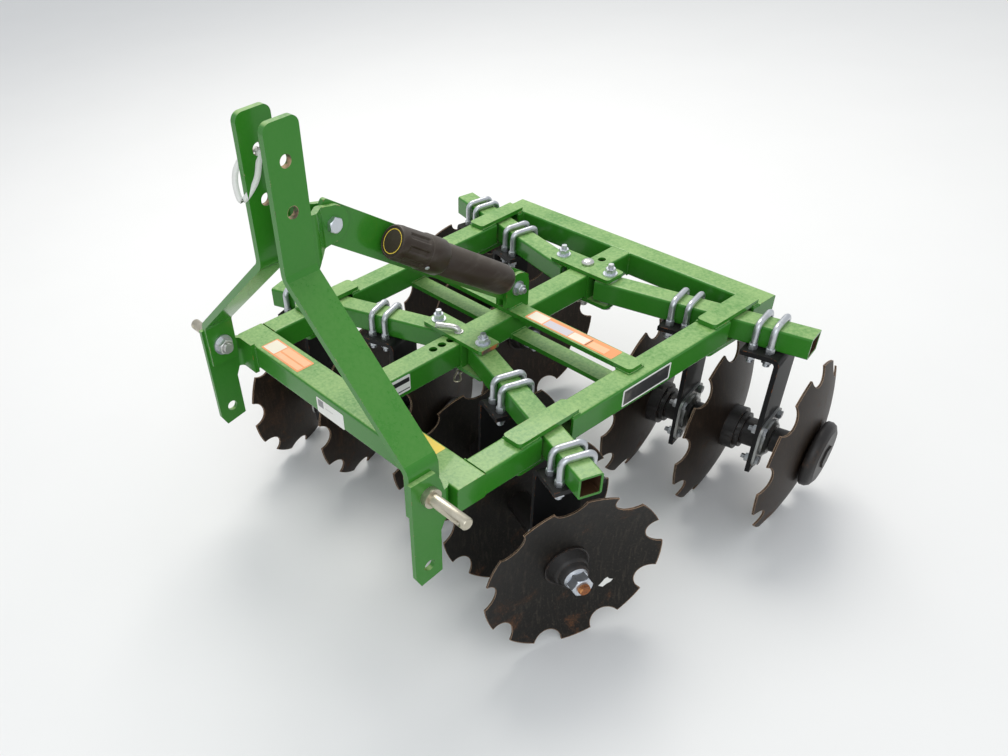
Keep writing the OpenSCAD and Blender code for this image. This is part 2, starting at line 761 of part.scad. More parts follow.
// Spool beside a disc: a flange against it, a step and a neck up to the next leg or bearing
module flanged_spool(u_disc, u_end) {
  way = sign(u_end - u_disc);
  room = abs(u_end - u_disc);
  f = min(flange_l, room / 2);
  s = f + min(step_l, room / 2);
  module part(a, b, d) {
    round_bar(min(u_disc + way * a, u_disc + way * b), max(u_disc + way * a, u_disc + way * b), d);
  }
  part(0, f, flange_d);
  part(f, s, step_d);
  part(s - 0.5, room, neck_d);
}

boss_l = 26;
end_nut_l = 28;
end_bolt_l = 16;
bumper_gap = 4;
module gang_axle(i, side) {
  hollow = hollow_side[i];
  discs = disc_u[i];
  legs = leg_u[i];
  before = [for (leg = legs) leg - hanger_t / 2 - spool_gap];
  after = [for (leg = legs) leg + hanger_t / 2 + bearing_l + spool_gap];
  inner = min(discs) - (hollow == 1 ? bumper_gap + front_bumper_t : disc_t + boss_l);
  outer = max(discs) + (hollow == 1 ? disc_t + boss_l : bumper_gap + rear_bumper_t);
  color(cast_grey) at_gang(i, side) {
    round_bar(inner, outer, shaft_d);
    for (j = [0, 1]) round_bar(before[j] - 1, after[j] + 1, journal_d);
    if (hollow == 1) {
      // front gang: the discs' hollows face outward
      round_bar(discs[0] + disc_t, before[0], spool_d);
      flanged_spool(discs[1], after[0]);
      round_bar(discs[1] + disc_t, before[1], spool_d);
      flanged_spool(discs[2], after[1]);
      round_bar(discs[0] - bumper_gap, discs[0], step_d);
      bumper(discs[0] - bumper_gap, front_bumper_t, -1);
      bolt_end(discs[0] - bumper_gap - front_bumper_t, -1, false);
      end_boss(discs[2] + disc_t, 1);
    } else {
      // rear gang: the discs' hollows face inward
      flanged_spool(discs[0], before[0]);
      round_bar(after[0], discs[1] - disc_t, spool_d);
      flanged_spool(discs[1], before[1]);
      round_bar(after[1], discs[2] - disc_t, spool_d);
      round_bar(discs[2], discs[2] + bumper_gap, step_d);
      bumper(discs[2] + bumper_gap, rear_bumper_t, 1);
      bolt_end(discs[2] + bumper_gap + rear_bumper_t, 1, false);
      end_boss(discs[0] - disc_t, -1);
    }
  }
}

// Cone in the hollow of an end disc, with the nut and the end of the axle
module end_boss(u0, way) {
  translate([u0, 0, axle_z]) rotate([0, way * 90, 0]) {
    cylinder(d = flange_d, h = 4);
    translate([0, 0, 4]) cylinder(d1 = 84, d2 = 62, h = boss_l - 4);
  }
  bolt_end(u0 + way * boss_l, way, true);
}

module bolt_end(u0, way, nut) {
  translate([u0, 0, axle_z]) rotate([0, way * 90, 0]) {
    if (nut) {
      translate([0, 0, -1]) linear_extrude(end_nut_l + 1) hexagon(46);
      cylinder(d = shaft_d - 2, h = end_nut_l + end_bolt_l);
    } else {
      translate([0, 0, -1]) linear_extrude(5) hexagon(40);
    }
  }
}

// Notched disc: a flat hub and a spherical dish, hollow side up, hub's round face at the origin
module disc() {
  r = disc_d / 2;
  zc = (r * r - disc_flat_r * disc_flat_r + disc_dish * disc_dish) / (2 * disc_dish);
  ball = sqrt(disc_flat_r * disc_flat_r + zc * zc);
  difference() {
    union() {
      cylinder(r = disc_flat_r, h = disc_t);
      difference() {
        intersection() {
          translate([0, 0, zc]) sphere(ball, $fn = 128);
          cylinder(r = r, h = 2 * disc_dish, $fn = 128);
        }
        translate([0, 0, zc]) sphere(ball - disc_t, $fn = 128);
        translate([0, 0, -1]) cylinder(r = disc_flat_r - 1, h = 2 * disc_dish);
      }
    }
    translate([0, 0, -1]) cylinder(d = shaft_d + 2 * hole_gap, h = disc_t + 2);
    for (k = [0:notch_count - 1]) rotate((k + 0.5) * 360 / notch_count)
      translate([r - notch_depth + notch_r, 0, -1]) cylinder(r = notch_r, h = 2 * disc_dish);
  }
}

module discs(i, side) {
  color(disc_brown) at_gang(i, side) for (u = disc_u[i])
    translate([u, 0, axle_z]) mirror([hollow_side[i] == 1 ? 0 : 1, 0, 0]) rotate([0, 90, 0])
      rotate(disc_turn[i]) disc();
}

front_tube();
rear_tube();
centre_tube();
side_rails();
slot_plates();
upper_strap();
lower_strap();
hitch_lugs();
hitch_pins();
mast_uprights();
brace_bar();
brace_bracket();
brace_bolts();
manual_canister();
canister_cap();
angle_bracket(FRONT, front_bracket_half);  // front_angle_bracket
pivot_bolts(FRONT);  // front_pivot_bolts
adjusting_pin(FRONT);  // front_adjusting_pin
angle_bracket(REAR, rear_bracket_half);  // rear_angle_bracket
pivot_bolts(REAR);  // rear_pivot_bolts
adjusting_pin(REAR);  // rear_adjusting_pin
gang_beam(FRONT, LEFT);  // front_left_beam
hangers(FRONT, LEFT);  // front_left_hangers
u_bolts(FRONT, LEFT);  // front_left_u_bolts
bearings(FRONT, LEFT);  // front_left_bearings
gang_axle(FRONT, LEFT);  // front_left_axle
discs(FRONT, LEFT);  // front_left_discs
gang_beam(FRONT, RIGHT);  // front_right_beam
hangers(FRONT, RIGHT);  // front_right_hangers
u_bolts(FRONT, RIGHT);  // front_right_u_bolts
bearings(FRONT, RIGHT);  // front_right_bearings
gang_axle(FRONT, RIGHT);  // front_right_axle
discs(FRONT, RIGHT);  // front_right_discs
gang_beam(REAR, LEFT);  // rear_left_beam
hangers(REAR, LEFT);  // rear_left_hangers
u_bolts(REAR, LEFT);  // rear_left_u_bolts
bearings(REAR, LEFT);  // rear_left_bearings
gang_axle(REAR, LEFT);  // rear_left_axle
discs(REAR, LEFT);  // rear_left_discs
gang_beam(REAR, RIGHT);  // rear_right_beam
hangers(REAR, RIGHT);  // rear_right_hangers
u_bolts(REAR, RIGHT);  // rear_right_u_bolts
bearings(REAR, RIGHT);  // rear_right_bearings
gang_axle(REAR, RIGHT);  // rear_right_axle
discs(REAR, RIGHT);  // rear_right_discs
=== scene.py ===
"""Looks of a compact tandem disc harrow: paint, rust, fasteners, welds, labels, stage and camera."""

import json
import math

import bmesh
import bpy
from bpy.props import FloatProperty, FloatVectorProperty, PointerProperty
from mathutils import Matrix, Vector


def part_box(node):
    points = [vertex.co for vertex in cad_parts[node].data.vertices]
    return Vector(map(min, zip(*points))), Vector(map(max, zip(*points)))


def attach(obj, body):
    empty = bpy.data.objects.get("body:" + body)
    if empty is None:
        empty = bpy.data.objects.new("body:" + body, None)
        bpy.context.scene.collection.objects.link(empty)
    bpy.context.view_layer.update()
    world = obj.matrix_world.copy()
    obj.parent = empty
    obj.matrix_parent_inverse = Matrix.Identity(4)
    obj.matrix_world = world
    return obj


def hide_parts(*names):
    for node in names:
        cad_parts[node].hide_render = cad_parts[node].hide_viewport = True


bl_info = {
    "name": "Tandem disc harrow",
    "version": (1, 0, 0),
    "blender": (4, 5, 0),
    "location": "View3D > Sidebar > Harrow",
    "description": "Finishes a three-point disc harrow and sets its stage",
    "category": "Object",
}

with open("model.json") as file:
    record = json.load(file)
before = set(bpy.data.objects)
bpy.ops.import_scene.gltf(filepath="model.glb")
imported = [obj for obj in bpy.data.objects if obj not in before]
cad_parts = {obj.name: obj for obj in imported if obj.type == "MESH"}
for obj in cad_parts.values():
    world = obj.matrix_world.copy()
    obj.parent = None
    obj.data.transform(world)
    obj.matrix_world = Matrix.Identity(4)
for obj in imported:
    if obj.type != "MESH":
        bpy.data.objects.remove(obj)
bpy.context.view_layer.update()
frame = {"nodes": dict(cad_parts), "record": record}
NODES = frame["nodes"]
JOINTS = {joint["name"]: joint for joint in frame["record"]["behaviour"]["joints"]}
X, Y, UP = Vector((1, 0, 0)), Vector((0, 1, 0)), Vector((0, 0, 1))
# Front face and top of the front tube, from which the frame's places are counted
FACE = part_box("front_tube")[0][1]
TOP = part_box("front_tube")[1][2]


def on_frame(x, y, z):
    return Vector((x, FACE + y, TOP + z))


class Gang:
    """Axes of one gang: along its axle from the pivot, backwards, and up from the axle."""

    def __init__(self, name):
        spin = JOINTS[name + "_spin"]
        self.name = name
        self.front = name.startswith("front")
        self.origin = Vector(spin["pos_m"])
        self.along = Vector(spin["axis"])
        back = UP.cross(self.along)
        self.back = back if back.y > 0 else -back

    def at(self, u, back, up):
        return self.origin + self.along * u + self.back * back + UP * up


GANGS = [Gang(name) for name in ("front_left", "front_right", "rear_left", "rear_right")]


# Sizes and colours


def size(name, text, default, low=0.0):
    return FloatProperty(name=name, description=text, default=default, min=low, unit="LENGTH", precision=4)


def colour(name, text, default):
    return FloatVectorProperty(
        name=name, description=text, default=default, size=3, min=0, max=1, subtype="COLOR"
    )


def degrees(name, text, default):
    return FloatProperty(name=name, description=text, default=math.radians(default), subtype="ANGLE")


class HARROW_PG_colours(bpy.types.PropertyGroup):
    green: colour("Green paint", "Gloss paint of the frame, mast and gang beams", (0.026, 0.190, 0.012))
    # Paler green of the tops: partly pale dust, partly painted sunlight on the tops
    green_dust_and_sunlight: colour("Dusty green", "Paint under a thin film of pale dust", (0.330, 0.500, 0.185))
    black: colour("Black paint", "Satin paint of the hangers", (0.007, 0.007, 0.0075))
    zinc: colour("Zinc", "Silver plating of the U-bolts and nuts", (0.55, 0.57, 0.60))
    yellow_zinc: colour("Yellow zinc", "Plating of the hitch pins", (0.52, 0.48, 0.38))
    disc: colour("Disc steel", "Dark mill scale of the discs", (0.0080, 0.0066, 0.0050))
    brown_disc: colour("Brown disc steel", "Browner scale of the gangs further off", (0.0170, 0.0105, 0.0065))
    rust: colour("Rust", "Orange rust on bare steel", (0.33, 0.105, 0.028))
    casting: colour("Castings", "Dark paint of spools and bumpers", (0.0125, 0.0105, 0.0095))
    plastic: colour("Canister", "Grey-brown plastic of the canister", (0.030, 0.019, 0.012))
    dust: colour("Dust", "Pale road dust", (0.42, 0.40, 0.35))
    label_white: colour("White label", "Plain white film", (0.80, 0.80, 0.76))
    label_orange: colour("Orange label", "Plain orange film", (0.82, 0.30, 0.10))
    label_pale_orange: colour("Pale orange field", "Field on the orange labels", (0.85, 0.46, 0.24))
    label_yellow: colour("Yellow label", "Plain yellow film", (0.85, 0.62, 0.06))
    label_cream: colour("Cream field", "Pale field on the labels", (0.78, 0.72, 0.58))
    label_lilac: colour("Lilac field", "Greyish field on the strap's label", (0.55, 0.52, 0.55))
    label_blush: colour("Blush field", "Pinkish field on the yellow label", (0.78, 0.55, 0.45))
    label_pale_grey: colour("Grey field", "Pale grey field on the white label", (0.55, 0.55, 0.54))
    label_grey: colour("Dark grey field", "Square on the white label", (0.22, 0.22, 0.23))
    label_ink: colour("Black field", "Black film", (0.015, 0.015, 0.016))
    floor: colour("Floor", "Plain pale floor and backdrop", (0.80, 0.80, 0.79))


class HARROW_PG_sizes(bpy.types.PropertyGroup):
    bolt_flats: size("Bearing bolts", "Width across the flats of the bearing bolts' heads and nuts", 0.0165)
    bolt_spread: size("Bolt spread", "Each bearing bolt's distance from the axle, across and up", 0.036)
    axle_flats: size("Axle nuts", "Width across the flats of the nuts on the axles' ends", 0.0375)
    pivot_flats: size("Pivot nuts", "Width across the flats of the pivot bolts' heads and nuts", 0.0190)
    hitch_flats: size("Hitch nuts", "Width across the flats of the hitch pins' nuts", 0.0285)
    brace_flats: size("Brace heads", "Width across the flats of the upper brace bolt's head and nut", 0.0240)
    pitch: size("Thread pitch", "Distance between the turns of a thread", 0.0019, 0.0008)
    bead: size("Weld beads", "Radius of a weld's ripples", 0.0026, 0.001)
    ripple: size("Weld ripples", "Distance between a weld's ripples", 0.0027, 0.001)
    cap: size("End caps", "Thickness of the plates that close the cross tubes", 0.0018)
    label: size("Labels", "Thickness of the blank labels", 0.0004)
    tag_width: size("Tag band", "Width of the white band through the mast", 0.0095)
    tag: size("Tag thickness", "Thickness of the white band", 0.0012)
    clip: size("Clip wire", "Radius of the clips' wire", 0.0018)
    flutes: size("Cap flutes", "Depth of the flutes round the canister's cap", 0.0028)


class HARROW_PG_camera(bpy.types.PropertyGroup):
    place: FloatVectorProperty(
        name="Place", description="Where the camera stands", default=(1.1405, -1.1429, 1.3923), size=3,
        subtype="XYZ",
    )
    yaw: degrees("Yaw", "Heading, left of the machine's back", 60.14)
    pitch: degrees("Pitch", "Slope of the view below level", 44.41)
    roll: degrees("Roll", "Tilt of the camera", -9.19)
    focal: FloatProperty(name="Focal length", description="In pixels of the picture's width", default=876.85, min=1)
    centre_x: FloatProperty(name="Centre X", description="Optical centre, in pixels from the left", default=328.0)
    centre_y: FloatProperty(name="Centre Y", description="Optical centre, in pixels from the top", default=543.0)


PICTURE = (1008, 756)
LABEL_TONES = ("white", "orange", "pale_orange", "yellow", "cream", "lilac", "blush", "pale_grey", "grey", "ink")
FINISHES = {}


# Node trees


class Tree:
    """A node tree, to which nodes are added with their settings and inputs."""

    def add(self, kind, settings=None, values=None):
        node = self.tree.nodes.new(kind)
        for name, value in (settings or {}).items():
            setattr(node, name, value)
        for name, value in (values or {}).items():
            self.feed(node.inputs[name], value)
        return node

    def feed(self, socket, value):
        if isinstance(value, Field):
            self.tree.links.new(value.socket, socket)
        elif isinstance(value, bpy.types.NodeSocket):
            self.tree.links.new(value, socket)
        elif isinstance(value, bpy.types.Node):
            self.tree.links.new(value.outputs[0], socket)
        elif socket.type == "RGBA" and not isinstance(value, (int, float)):
            socket.default_value = (*value[:3], 1)
        else:
            socket.default_value = value


class Field:
    """A number that varies over a surface; arithmetic on it adds Math nodes."""

    def __init__(self, finish, socket):
        self.finish = finish
        self.socket = socket

    def math(self, operation, *values):
        node = self.finish.add("ShaderNodeMath", {"operation": operation}, dict(enumerate(values)))
        return Field(self.finish, node.outputs[0])

    def __add__(self, other):
        return self.math("ADD", self, other)

    def __radd__(self, other):
        return self.math("ADD", other, self)

    def __sub__(self, other):
        return self.math("SUBTRACT", self, other)

    def __rsub__(self, other):
        return self.math("SUBTRACT", other, self)

    def __mul__(self, other):
        return self.math("MULTIPLY", self, other)

    def __rmul__(self, other):
        return self.math("MULTIPLY", other, self)

    def __truediv__(self, other):
        return self.math("DIVIDE", self, other)

    def __rtruediv__(self, other):
        return self.math("DIVIDE", other, self)

    def __pow__(self, other):
        return self.math("POWER", self, other)

    def steps(self, low, high):
        """0 below low, 1 above high, smooth between."""
        node = self.finish.add(
            "ShaderNodeMapRange",
            {"interpolation_type": "SMOOTHSTEP"},
            {"Value": self, "From Min": low, "From Max": high},
        )
        return Field(self.finish, node.outputs[0])

    def most(self, other):
        return self.math("MAXIMUM", self, other)

    def least(self, other):
        return self.math("MINIMUM", self, other)


class Finish(Tree):
    """One procedural material, with a principled shader to be fed."""

    def __init__(self, name):
        self.material = bpy.data.materials.new(name)
        self.material.use_nodes = True
        self.tree = self.material.node_tree
        self.tree.nodes.clear()
        self.shader = self.add("ShaderNodeBsdfPrincipled")
        self.add("ShaderNodeOutputMaterial", values={"Surface": self.shader.outputs[0]})
        self.place = self.add("ShaderNodeTexCoord").outputs["Object"]

    SOCKETS = {
        "colour": "Base Color", "roughness": "Roughness", "metal": "Metallic", "normal": "Normal",
        "coat": "Coat Weight", "coat_roughness": "Coat Roughness", "specular": "Specular IOR Level",
    }

    def set(self, **values):
        for name, value in values.items():
            self.feed(self.shader.inputs[self.SOCKETS[name]], value)

    def noise(self, scale, detail=3, roughness=0.5, stretch=None, distortion=0.0):
        place = self.place
        if stretch:
            place = self.add("ShaderNodeMapping", values={"Vector": place, "Scale": stretch}).outputs[0]
        node = self.add("ShaderNodeTexNoise", values={
            "Vector": place, "Scale": scale, "Detail": detail, "Roughness": roughness, "Distortion": distortion,
        })
        return Field(self, node.outputs[0])

    def mix(self, under, over, mask):
        node = self.add("ShaderNodeMix", {"data_type": "RGBA"}, {0: mask, 6: under, 7: over})
        return node.outputs[2]

    def upward(self):
        """1 on faces that look up, 0 on upright sides."""
        normal = self.add("ShaderNodeNewGeometry").outputs["Normal"]
        return Field(self, self.add("ShaderNodeSeparateXYZ", values={"Vector": normal}).outputs[2])

    def along(self, axis):
        """The place along X, Y or Z, as 0, 1 or 2."""
        return Field(self, self.add("ShaderNodeSeparateXYZ", values={"Vector": self.place}).outputs[axis])

    def edges(self, radius):
        """Near 0 on flat faces, larger within a radius of a sharp edge."""
        round_normal = self.add("ShaderNodeBevel", {"samples": 4}, {"Radius": radius}).outputs[0]
        normal = self.add("ShaderNodeNewGeometry").outputs["Normal"]
        dot = self.add("ShaderNodeVectorMath", {"operation": "DOT_PRODUCT"}, {0: round_normal, 1: normal})
        return 1 - Field(self, dot.outputs["Value"])

    def bump(self, height, strength, distance):
        node = self.add("ShaderNodeBump", values={"Height": height, "Strength": strength, "Distance": distance})
        return node.outputs[0]


def paint_finish(name, paint, dusty, rust, gloss, chips, film=0.8, shine=0.3, bare_end=None, bores=()):
    """Gloss paint with a film of dust and painted sunlight on top, orange peel and chips at edges.

    bare_end leaves what is past that X in primer, and bores, each the (y, z) of an axis along X, are bare inside.
    """
    f = Finish(name)
    grime = f.noise(9, 6, 0.6)
    fine = f.noise(150, 4, 0.65)
    # Faces that look up are paler: partly pale dust, partly painted sunlight on the tops
    dust = (f.upward().steps(0.72, 0.97) * film + 0.03) * (grime * 0.55 + fine * 0.6).steps(0.25, 0.75)
    chipped = f.edges(0.0022).steps(0.03, 0.16) * f.noise(70, 5, 0.7).steps(1 - chips, 1.03 - chips)
    tone = f.mix(paint, dusty, dust)
    bare = f.mix((0.10, 0.075, 0.06), rust, f.noise(45, 3).steps(0.4, 0.6))
    if bare_end:
        past = f.along(0).steps(bare_end, bare_end + 0.0006)
        chipped = chipped.most(past * f.noise(60, 3).steps(0.25, 0.45))
    for y, z in bores:
        away = f.add("ShaderNodeVectorMath", {"operation": "DISTANCE"}, {
            0: f.add("ShaderNodeVectorMath", {"operation": "MULTIPLY"}, {0: f.place, 1: (0, 1, 1)}), 1: (0, y, z),
        })
        inside = 1 - Field(f, away.outputs["Value"]).steps(0.00995, 0.0102)
        chipped = chipped.most(inside * f.noise(90, 4).steps(0.3, 0.5))
    f.set(
        colour=f.mix(tone, bare, chipped),
        roughness=(gloss + dust * 0.35 + grime * 0.06 + chipped * 0.4).least(1.0),
        coat=(1 - chipped) * (shine - 0.05),
        coat_roughness=0.08,
        specular=shine,
        normal=f.bump(f.noise(420, 2) * 0.25 - chipped, 0.25, 0.0003),
    )
    return f.material


def plated_finish(name, plate, stain, dirt):
    f = Finish(name)
    blotch = f.noise(60, 5, 0.65)
    worn = f.noise(18, 4, 0.6).steps(0.55, 0.75) * dirt
    f.set(
        colour=f.mix(f.mix(plate, stain, blotch.steps(0.45, 0.7) * 0.5), (0.10, 0.075, 0.05), worn),
        metal=0.9 - worn * 0.7,
        roughness=0.26 + blotch * 0.2 + worn * 0.3,
        normal=f.bump(f.noise(500, 3), 0.15, 0.0002),
    )
    return f.material


def disc_finish(name, steel, worn, rust):
    """Dark scale with worn specks, brown blooms and fine upright streaks, and an orange edge with a bare line."""
    f = Finish(name)
    bloom = f.noise(12, 7, 0.62, distortion=0.6)
    speck = f.noise(230, 5, 0.75)
    streak = f.noise(150, 4, 0.6, stretch=(1, 1, 0.14))
    edge = f.edges(0.0034).steps(0.02, 0.2)
    low = 1 - f.along(2).steps(0.04, 0.14)
    rim = f.edges(0.014).steps(0.01, 0.25)
    blooms = bloom.steps(0.54, 0.70) * (0.25 + low * 0.55 + rim * 0.6)
    rusty = (blooms + edge * bloom.steps(0.34, 0.54) * 0.9).least(1.0)
    grain = (speck.steps(0.52, 0.76) * 0.7 + streak.steps(0.5, 0.72) * 0.3).least(1.0)
    scale = f.mix(steel, worn, grain)
    brown = f.mix((0.070, 0.034, 0.015), rust, speck.steps(0.45, 0.7) * 0.6 + edge * 0.4)
    line = edge.steps(0.45, 0.85) * speck.steps(0.3, 0.5) * 0.85
    f.set(
        colour=f.mix(f.mix(scale, brown, rusty), (0.42, 0.29, 0.19), line),
        metal=0.3 - rusty * 0.25,
        roughness=(0.50 + rusty * 0.3 + grain * 0.12).least(1.0),
        specular=0.35,
        normal=f.bump(speck + streak * 0.6 + bloom * 0.4, 0.4, 0.0007),
    )
    return f.material


def casting_finish(name, paint, rust):
    f = Finish(name)
    grain = f.noise(220, 5, 0.7)
    bloom = f.noise(16, 6, 0.6)
    edge = f.edges(0.002).steps(0.03, 0.2)
    bare = (bloom.steps(0.56, 0.72) * 0.5 + edge * grain.steps(0.45, 0.6) * 0.8).least(1.0)
    f.set(
        colour=f.mix(paint, f.mix((0.07, 0.045, 0.03), rust, grain.steps(0.5, 0.7) * 0.6), bare),
        metal=0.15,
        roughness=0.45 + bare * 0.35,
        normal=f.bump(grain, 0.4, 0.0008),
    )
    return f.material


def plastic_finish(name, plastic, dust):
    f = Finish(name)
    scuff = f.noise(30, 6, 0.65, stretch=(1, 0.25, 1))
    film = f.upward().steps(0.3, 0.95) * 0.3 + scuff.steps(0.5, 0.75) * 0.25
    f.set(
        colour=f.mix(plastic, dust, film * 0.35),
        roughness=0.36 + film * 0.4,
        specular=0.3,
        normal=f.bump(f.noise(600, 2), 0.12, 0.0002),
    )
    return f.material


def rust_finish(name, rust):
    f = Finish(name)
    grain = f.noise(260, 5, 0.7)
    crust = f.mix((0.14, 0.055, 0.02), rust, grain.steps(0.35, 0.65))
    f.set(
        colour=f.mix(crust, (0.60, 0.27, 0.09), f.noise(90, 4).steps(0.5, 0.7)),
        metal=0.1,
        roughness=0.75 + grain * 0.1,
        normal=f.bump(grain, 0.5, 0.0006),
    )
    return f.material


def label_finish(name, film):
    """Printed film, a little scuffed and dusty."""
    f = Finish(name)
    scuff = f.noise(160, 5, 0.7)
    grime = f.noise(22, 4, 0.6)
    dusty = f.mix(film, (0.62, 0.58, 0.48), grime.steps(0.45, 0.8) * 0.25)
    f.set(
        colour=f.mix(dusty, (0.34, 0.32, 0.27), scuff.steps(0.66, 0.78) * 0.5),
        roughness=0.38 + grime * 0.25,
        normal=f.bump(scuff, 0.1, 0.0001),
    )
    return f.material


# Making meshes


class Build(Tree):
    """A Geometry Nodes tree with named sizes, which ends in real geometry with one finish."""

    def __init__(self, name, **sizes):
        self.tree = bpy.data.node_groups.new(name, "GeometryNodeTree")
        self.name = name
        self.chosen = {}
        face = self.tree.interface
        face.new_socket("Geometry", in_out="INPUT", socket_type="NodeSocketGeometry")
        for label, value in sizes.items():
            item = face.new_socket(label.capitalize(), in_out="INPUT", socket_type="NodeSocketFloat")
            self.chosen[item.identifier] = value
        face.new_socket("Geometry", in_out="OUTPUT", socket_type="NodeSocketGeometry")
        self.given = self.add("NodeGroupInput").outputs

    def given_size(self, label):
        return Field(self, self.given[label])

    def joined(self, *shapes):
        node = self.add("GeometryNodeJoinGeometry")
        for shape in reversed(shapes):
            self.feed(node.inputs[0], shape)
        return node

    def set_on_points(self, shape):
        """The shape on each point of the base, turned as the point's attribute says."""
        turn = self.add("GeometryNodeInputNamedAttribute", {"data_type": "FLOAT_VECTOR"}, {"Name": "turn"})
        return self.add(
            "GeometryNodeInstanceOnPoints",
            values={"Points": self.given["Geometry"], "Instance": shape, "Rotation": turn.outputs[0]},
        )

    def close(self, shape, look):
        real = self.add("GeometryNodeRealizeInstances", values={"Geometry": shape})
        done = self.add("GeometryNodeSetMaterial", values={"Geometry": real, "Material": FINISHES[look]})
        self.add("NodeGroupOutput", values={"Geometry": done})

    def grow(self, base, body):
        """A plain mesh of what the tree makes of the base; it rides on the body."""
        rig = bpy.data.objects.new("rig", base)
        bpy.context.collection.objects.link(rig)
        modifier = rig.modifiers.new("tree", "NODES")
        modifier.node_group = self.tree
        for identifier, value in self.chosen.items():
            modifier[identifier] = value
        depsgraph = bpy.context.evaluated_depsgraph_get()
        mesh = bpy.data.meshes.new_from_object(rig.evaluated_get(depsgraph), depsgraph=depsgraph)
        bpy.data.objects.remove(rig)
        return place_piece(f"{body}_{self.name}", mesh, body)


def place_piece(name, mesh, body, *looks):
    """An object of the mesh in the finishes named; it rides on the body."""
    for look in looks:
        mesh.materials.append(FINISHES[look])
    piece = bpy.data.objects.new(name, mesh)
    bpy.context.collection.objects.link(piece)
    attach(piece, body)
    return piece


def dots(places):
    """Points; on each an instance stands in the first direction, with a corner towards the second."""
    mesh = bpy.data.meshes.new("dots")
    mesh.from_pydata([place for place, _, _ in places], [], [])
    turn = mesh.attributes.new("turn", "FLOAT_VECTOR", "POINT")
    for value, (_, ahead, corner) in zip(turn.data, places):
        x = (corner - ahead * corner.dot(ahead)).normalized()
        value.vector = Matrix((x, ahead.cross(x), ahead)).transposed().to_euler()
    return mesh


def stack(seats, body, *layers):
    """Grow each layer's tree on the seats, at its own distance ahead of them."""
    for tree, away in layers:
        tree.grow(dots([(place + ahead * away, ahead, corner) for place, ahead, corner in seats]), body)


def pair(place, away, way=1):
    """A seat on each side of the place, facing outwards, or inwards with a way of -1."""
    return [(place + X * side * away, X * side * way, UP) for side in (-1, 1)]


def lines(paths):
    """Edges along each path, as a base for what follows it."""
    mesh = bpy.data.meshes.new("lines")
    corners, edges = [], []
    for path in paths:
        edges += [(len(corners) + k, len(corners) + k + 1) for k in range(len(path) - 1)]
        corners += path
    mesh.from_pydata(corners, edges, [])
    return mesh


def smooth_path(points, steps, closed=False):
    """A curve through the points, with steps between each two."""
    count = len(points)
    path = []
    for k in range(count if closed else count - 1):
        if closed:
            a, b, c, d = (points[(k + n) % count] for n in (-1, 0, 1, 2))
        else:
            a, b, c, d = (points[min(max(k + n, 0), count - 1)] for n in (-1, 0, 1, 2))
        for step in range(steps):
            t = step / steps
            path.append(
                0.5 * (2 * b + (c - a) * t + (2 * a - 5 * b + 4 * c - d) * t**2 + (3 * b - a - 3 * c + d) * t**3)
            )
    return path if closed else path + [points[-1]]


def mesh_of(bm, name):
    done = bpy.data.meshes.new(name)
    bm.to_mesh(done)
    return done


def merged(parts, name):
    """One mesh of several."""
    bm = bmesh.new()
    for part in parts:
        bm.from_mesh(part)
    return mesh_of(bm, name)


def bridge(mesh, ring, following):
    """Faces between two rings of as many corners."""
    faces = []
    for n in range(len(ring)):
        m = (n + 1) % len(ring)
        faces.append(mesh.faces.new((ring[n], ring[m], following[m], following[n])))
    return faces


def swept(path, outline, across, closed=False):
    """A mesh of the outline carried along the path; across keeps its second axis steady."""
    mesh = bmesh.new()
    rings = []
    count = len(path)
    for k, point in enumerate(path):
        before = path[k - 1] if closed or k else path[0]
        after = path[(k + 1) % count] if closed or k < count - 1 else path[-1]
        ahead = (after - before).normalized()
        side = (across - ahead * across.dot(ahead)).normalized()
        other = ahead.cross(side)
        rings.append([mesh.verts.new(point + side * u + other * v) for u, v in outline])
    for k in range(count if closed else count - 1):
        bridge(mesh, rings[k], rings[(k + 1) % count])
    if not closed:
        mesh.faces.new(rings[0])
        mesh.faces.new(reversed(rings[-1]))
    bmesh.ops.recalc_face_normals(mesh, faces=mesh.faces)
    for face in mesh.faces:
        face.smooth = True
    return mesh_of(mesh, "swept")


def turned(profile, place, ahead, steady, count, ripple=None):
    """A closed solid turned round an axis: (distance, radius) pairs, and a ripple of the radius."""
    mesh = bmesh.new()
    other = ahead.cross(steady)
    rings = []
    for distance, radius in profile:
        ring = []
        for k in range(count):
            angle = math.tau * k / count
            reach = radius - (ripple(distance, angle) if ripple else 0)
            ring.append(mesh.verts.new(
                place + ahead * distance + steady * (reach * math.cos(angle)) + other * (reach * math.sin(angle))
            ))
        rings.append(ring)
    for low, high in zip(rings, rings[1:]):
        bridge(mesh, low, high)
    mesh.faces.new(reversed(rings[0]))
    mesh.faces.new(rings[-1])
    bmesh.ops.recalc_face_normals(mesh, faces=mesh.faces)
    done = mesh_of(mesh, "turned")
    done.shade_smooth()
    done.set_sharp_from_angle(angle=math.radians(35))
    return done


def trimmed(node, cuts):
    """A copy of a CAD node's mesh, cut off beyond each plane and closed there.

    A cut is a place, the way out, and the side of x = 0 that it keeps to, or 0 for both.
    """
    bm = bmesh.new()
    bm.from_mesh(NODES[node].data)
    bmesh.ops.remove_doubles(bm, verts=bm.verts, dist=1e-6)
    for place, outward, side in cuts:
        if side:
            verts = [vertex for vertex in bm.verts if vertex.co.x * side > 0]
            chosen = set(verts)
            geom = verts + [edge for edge in bm.edges if edge.verts[0] in chosen]
            geom += [face for face in bm.faces if face.verts[0] in chosen]
        else:
            geom = bm.verts[:] + bm.edges[:] + bm.faces[:]
        done = bmesh.ops.bisect_plane(bm, geom=geom, plane_co=place, plane_no=outward, clear_outer=True)
        rim = [item for item in done["geom_cut"] if isinstance(item, bmesh.types.BMEdge)]
        bmesh.ops.holes_fill(bm, edges=rim, sides=0)
    mesh = mesh_of(bm, node)
    mesh.materials.clear()
    return mesh


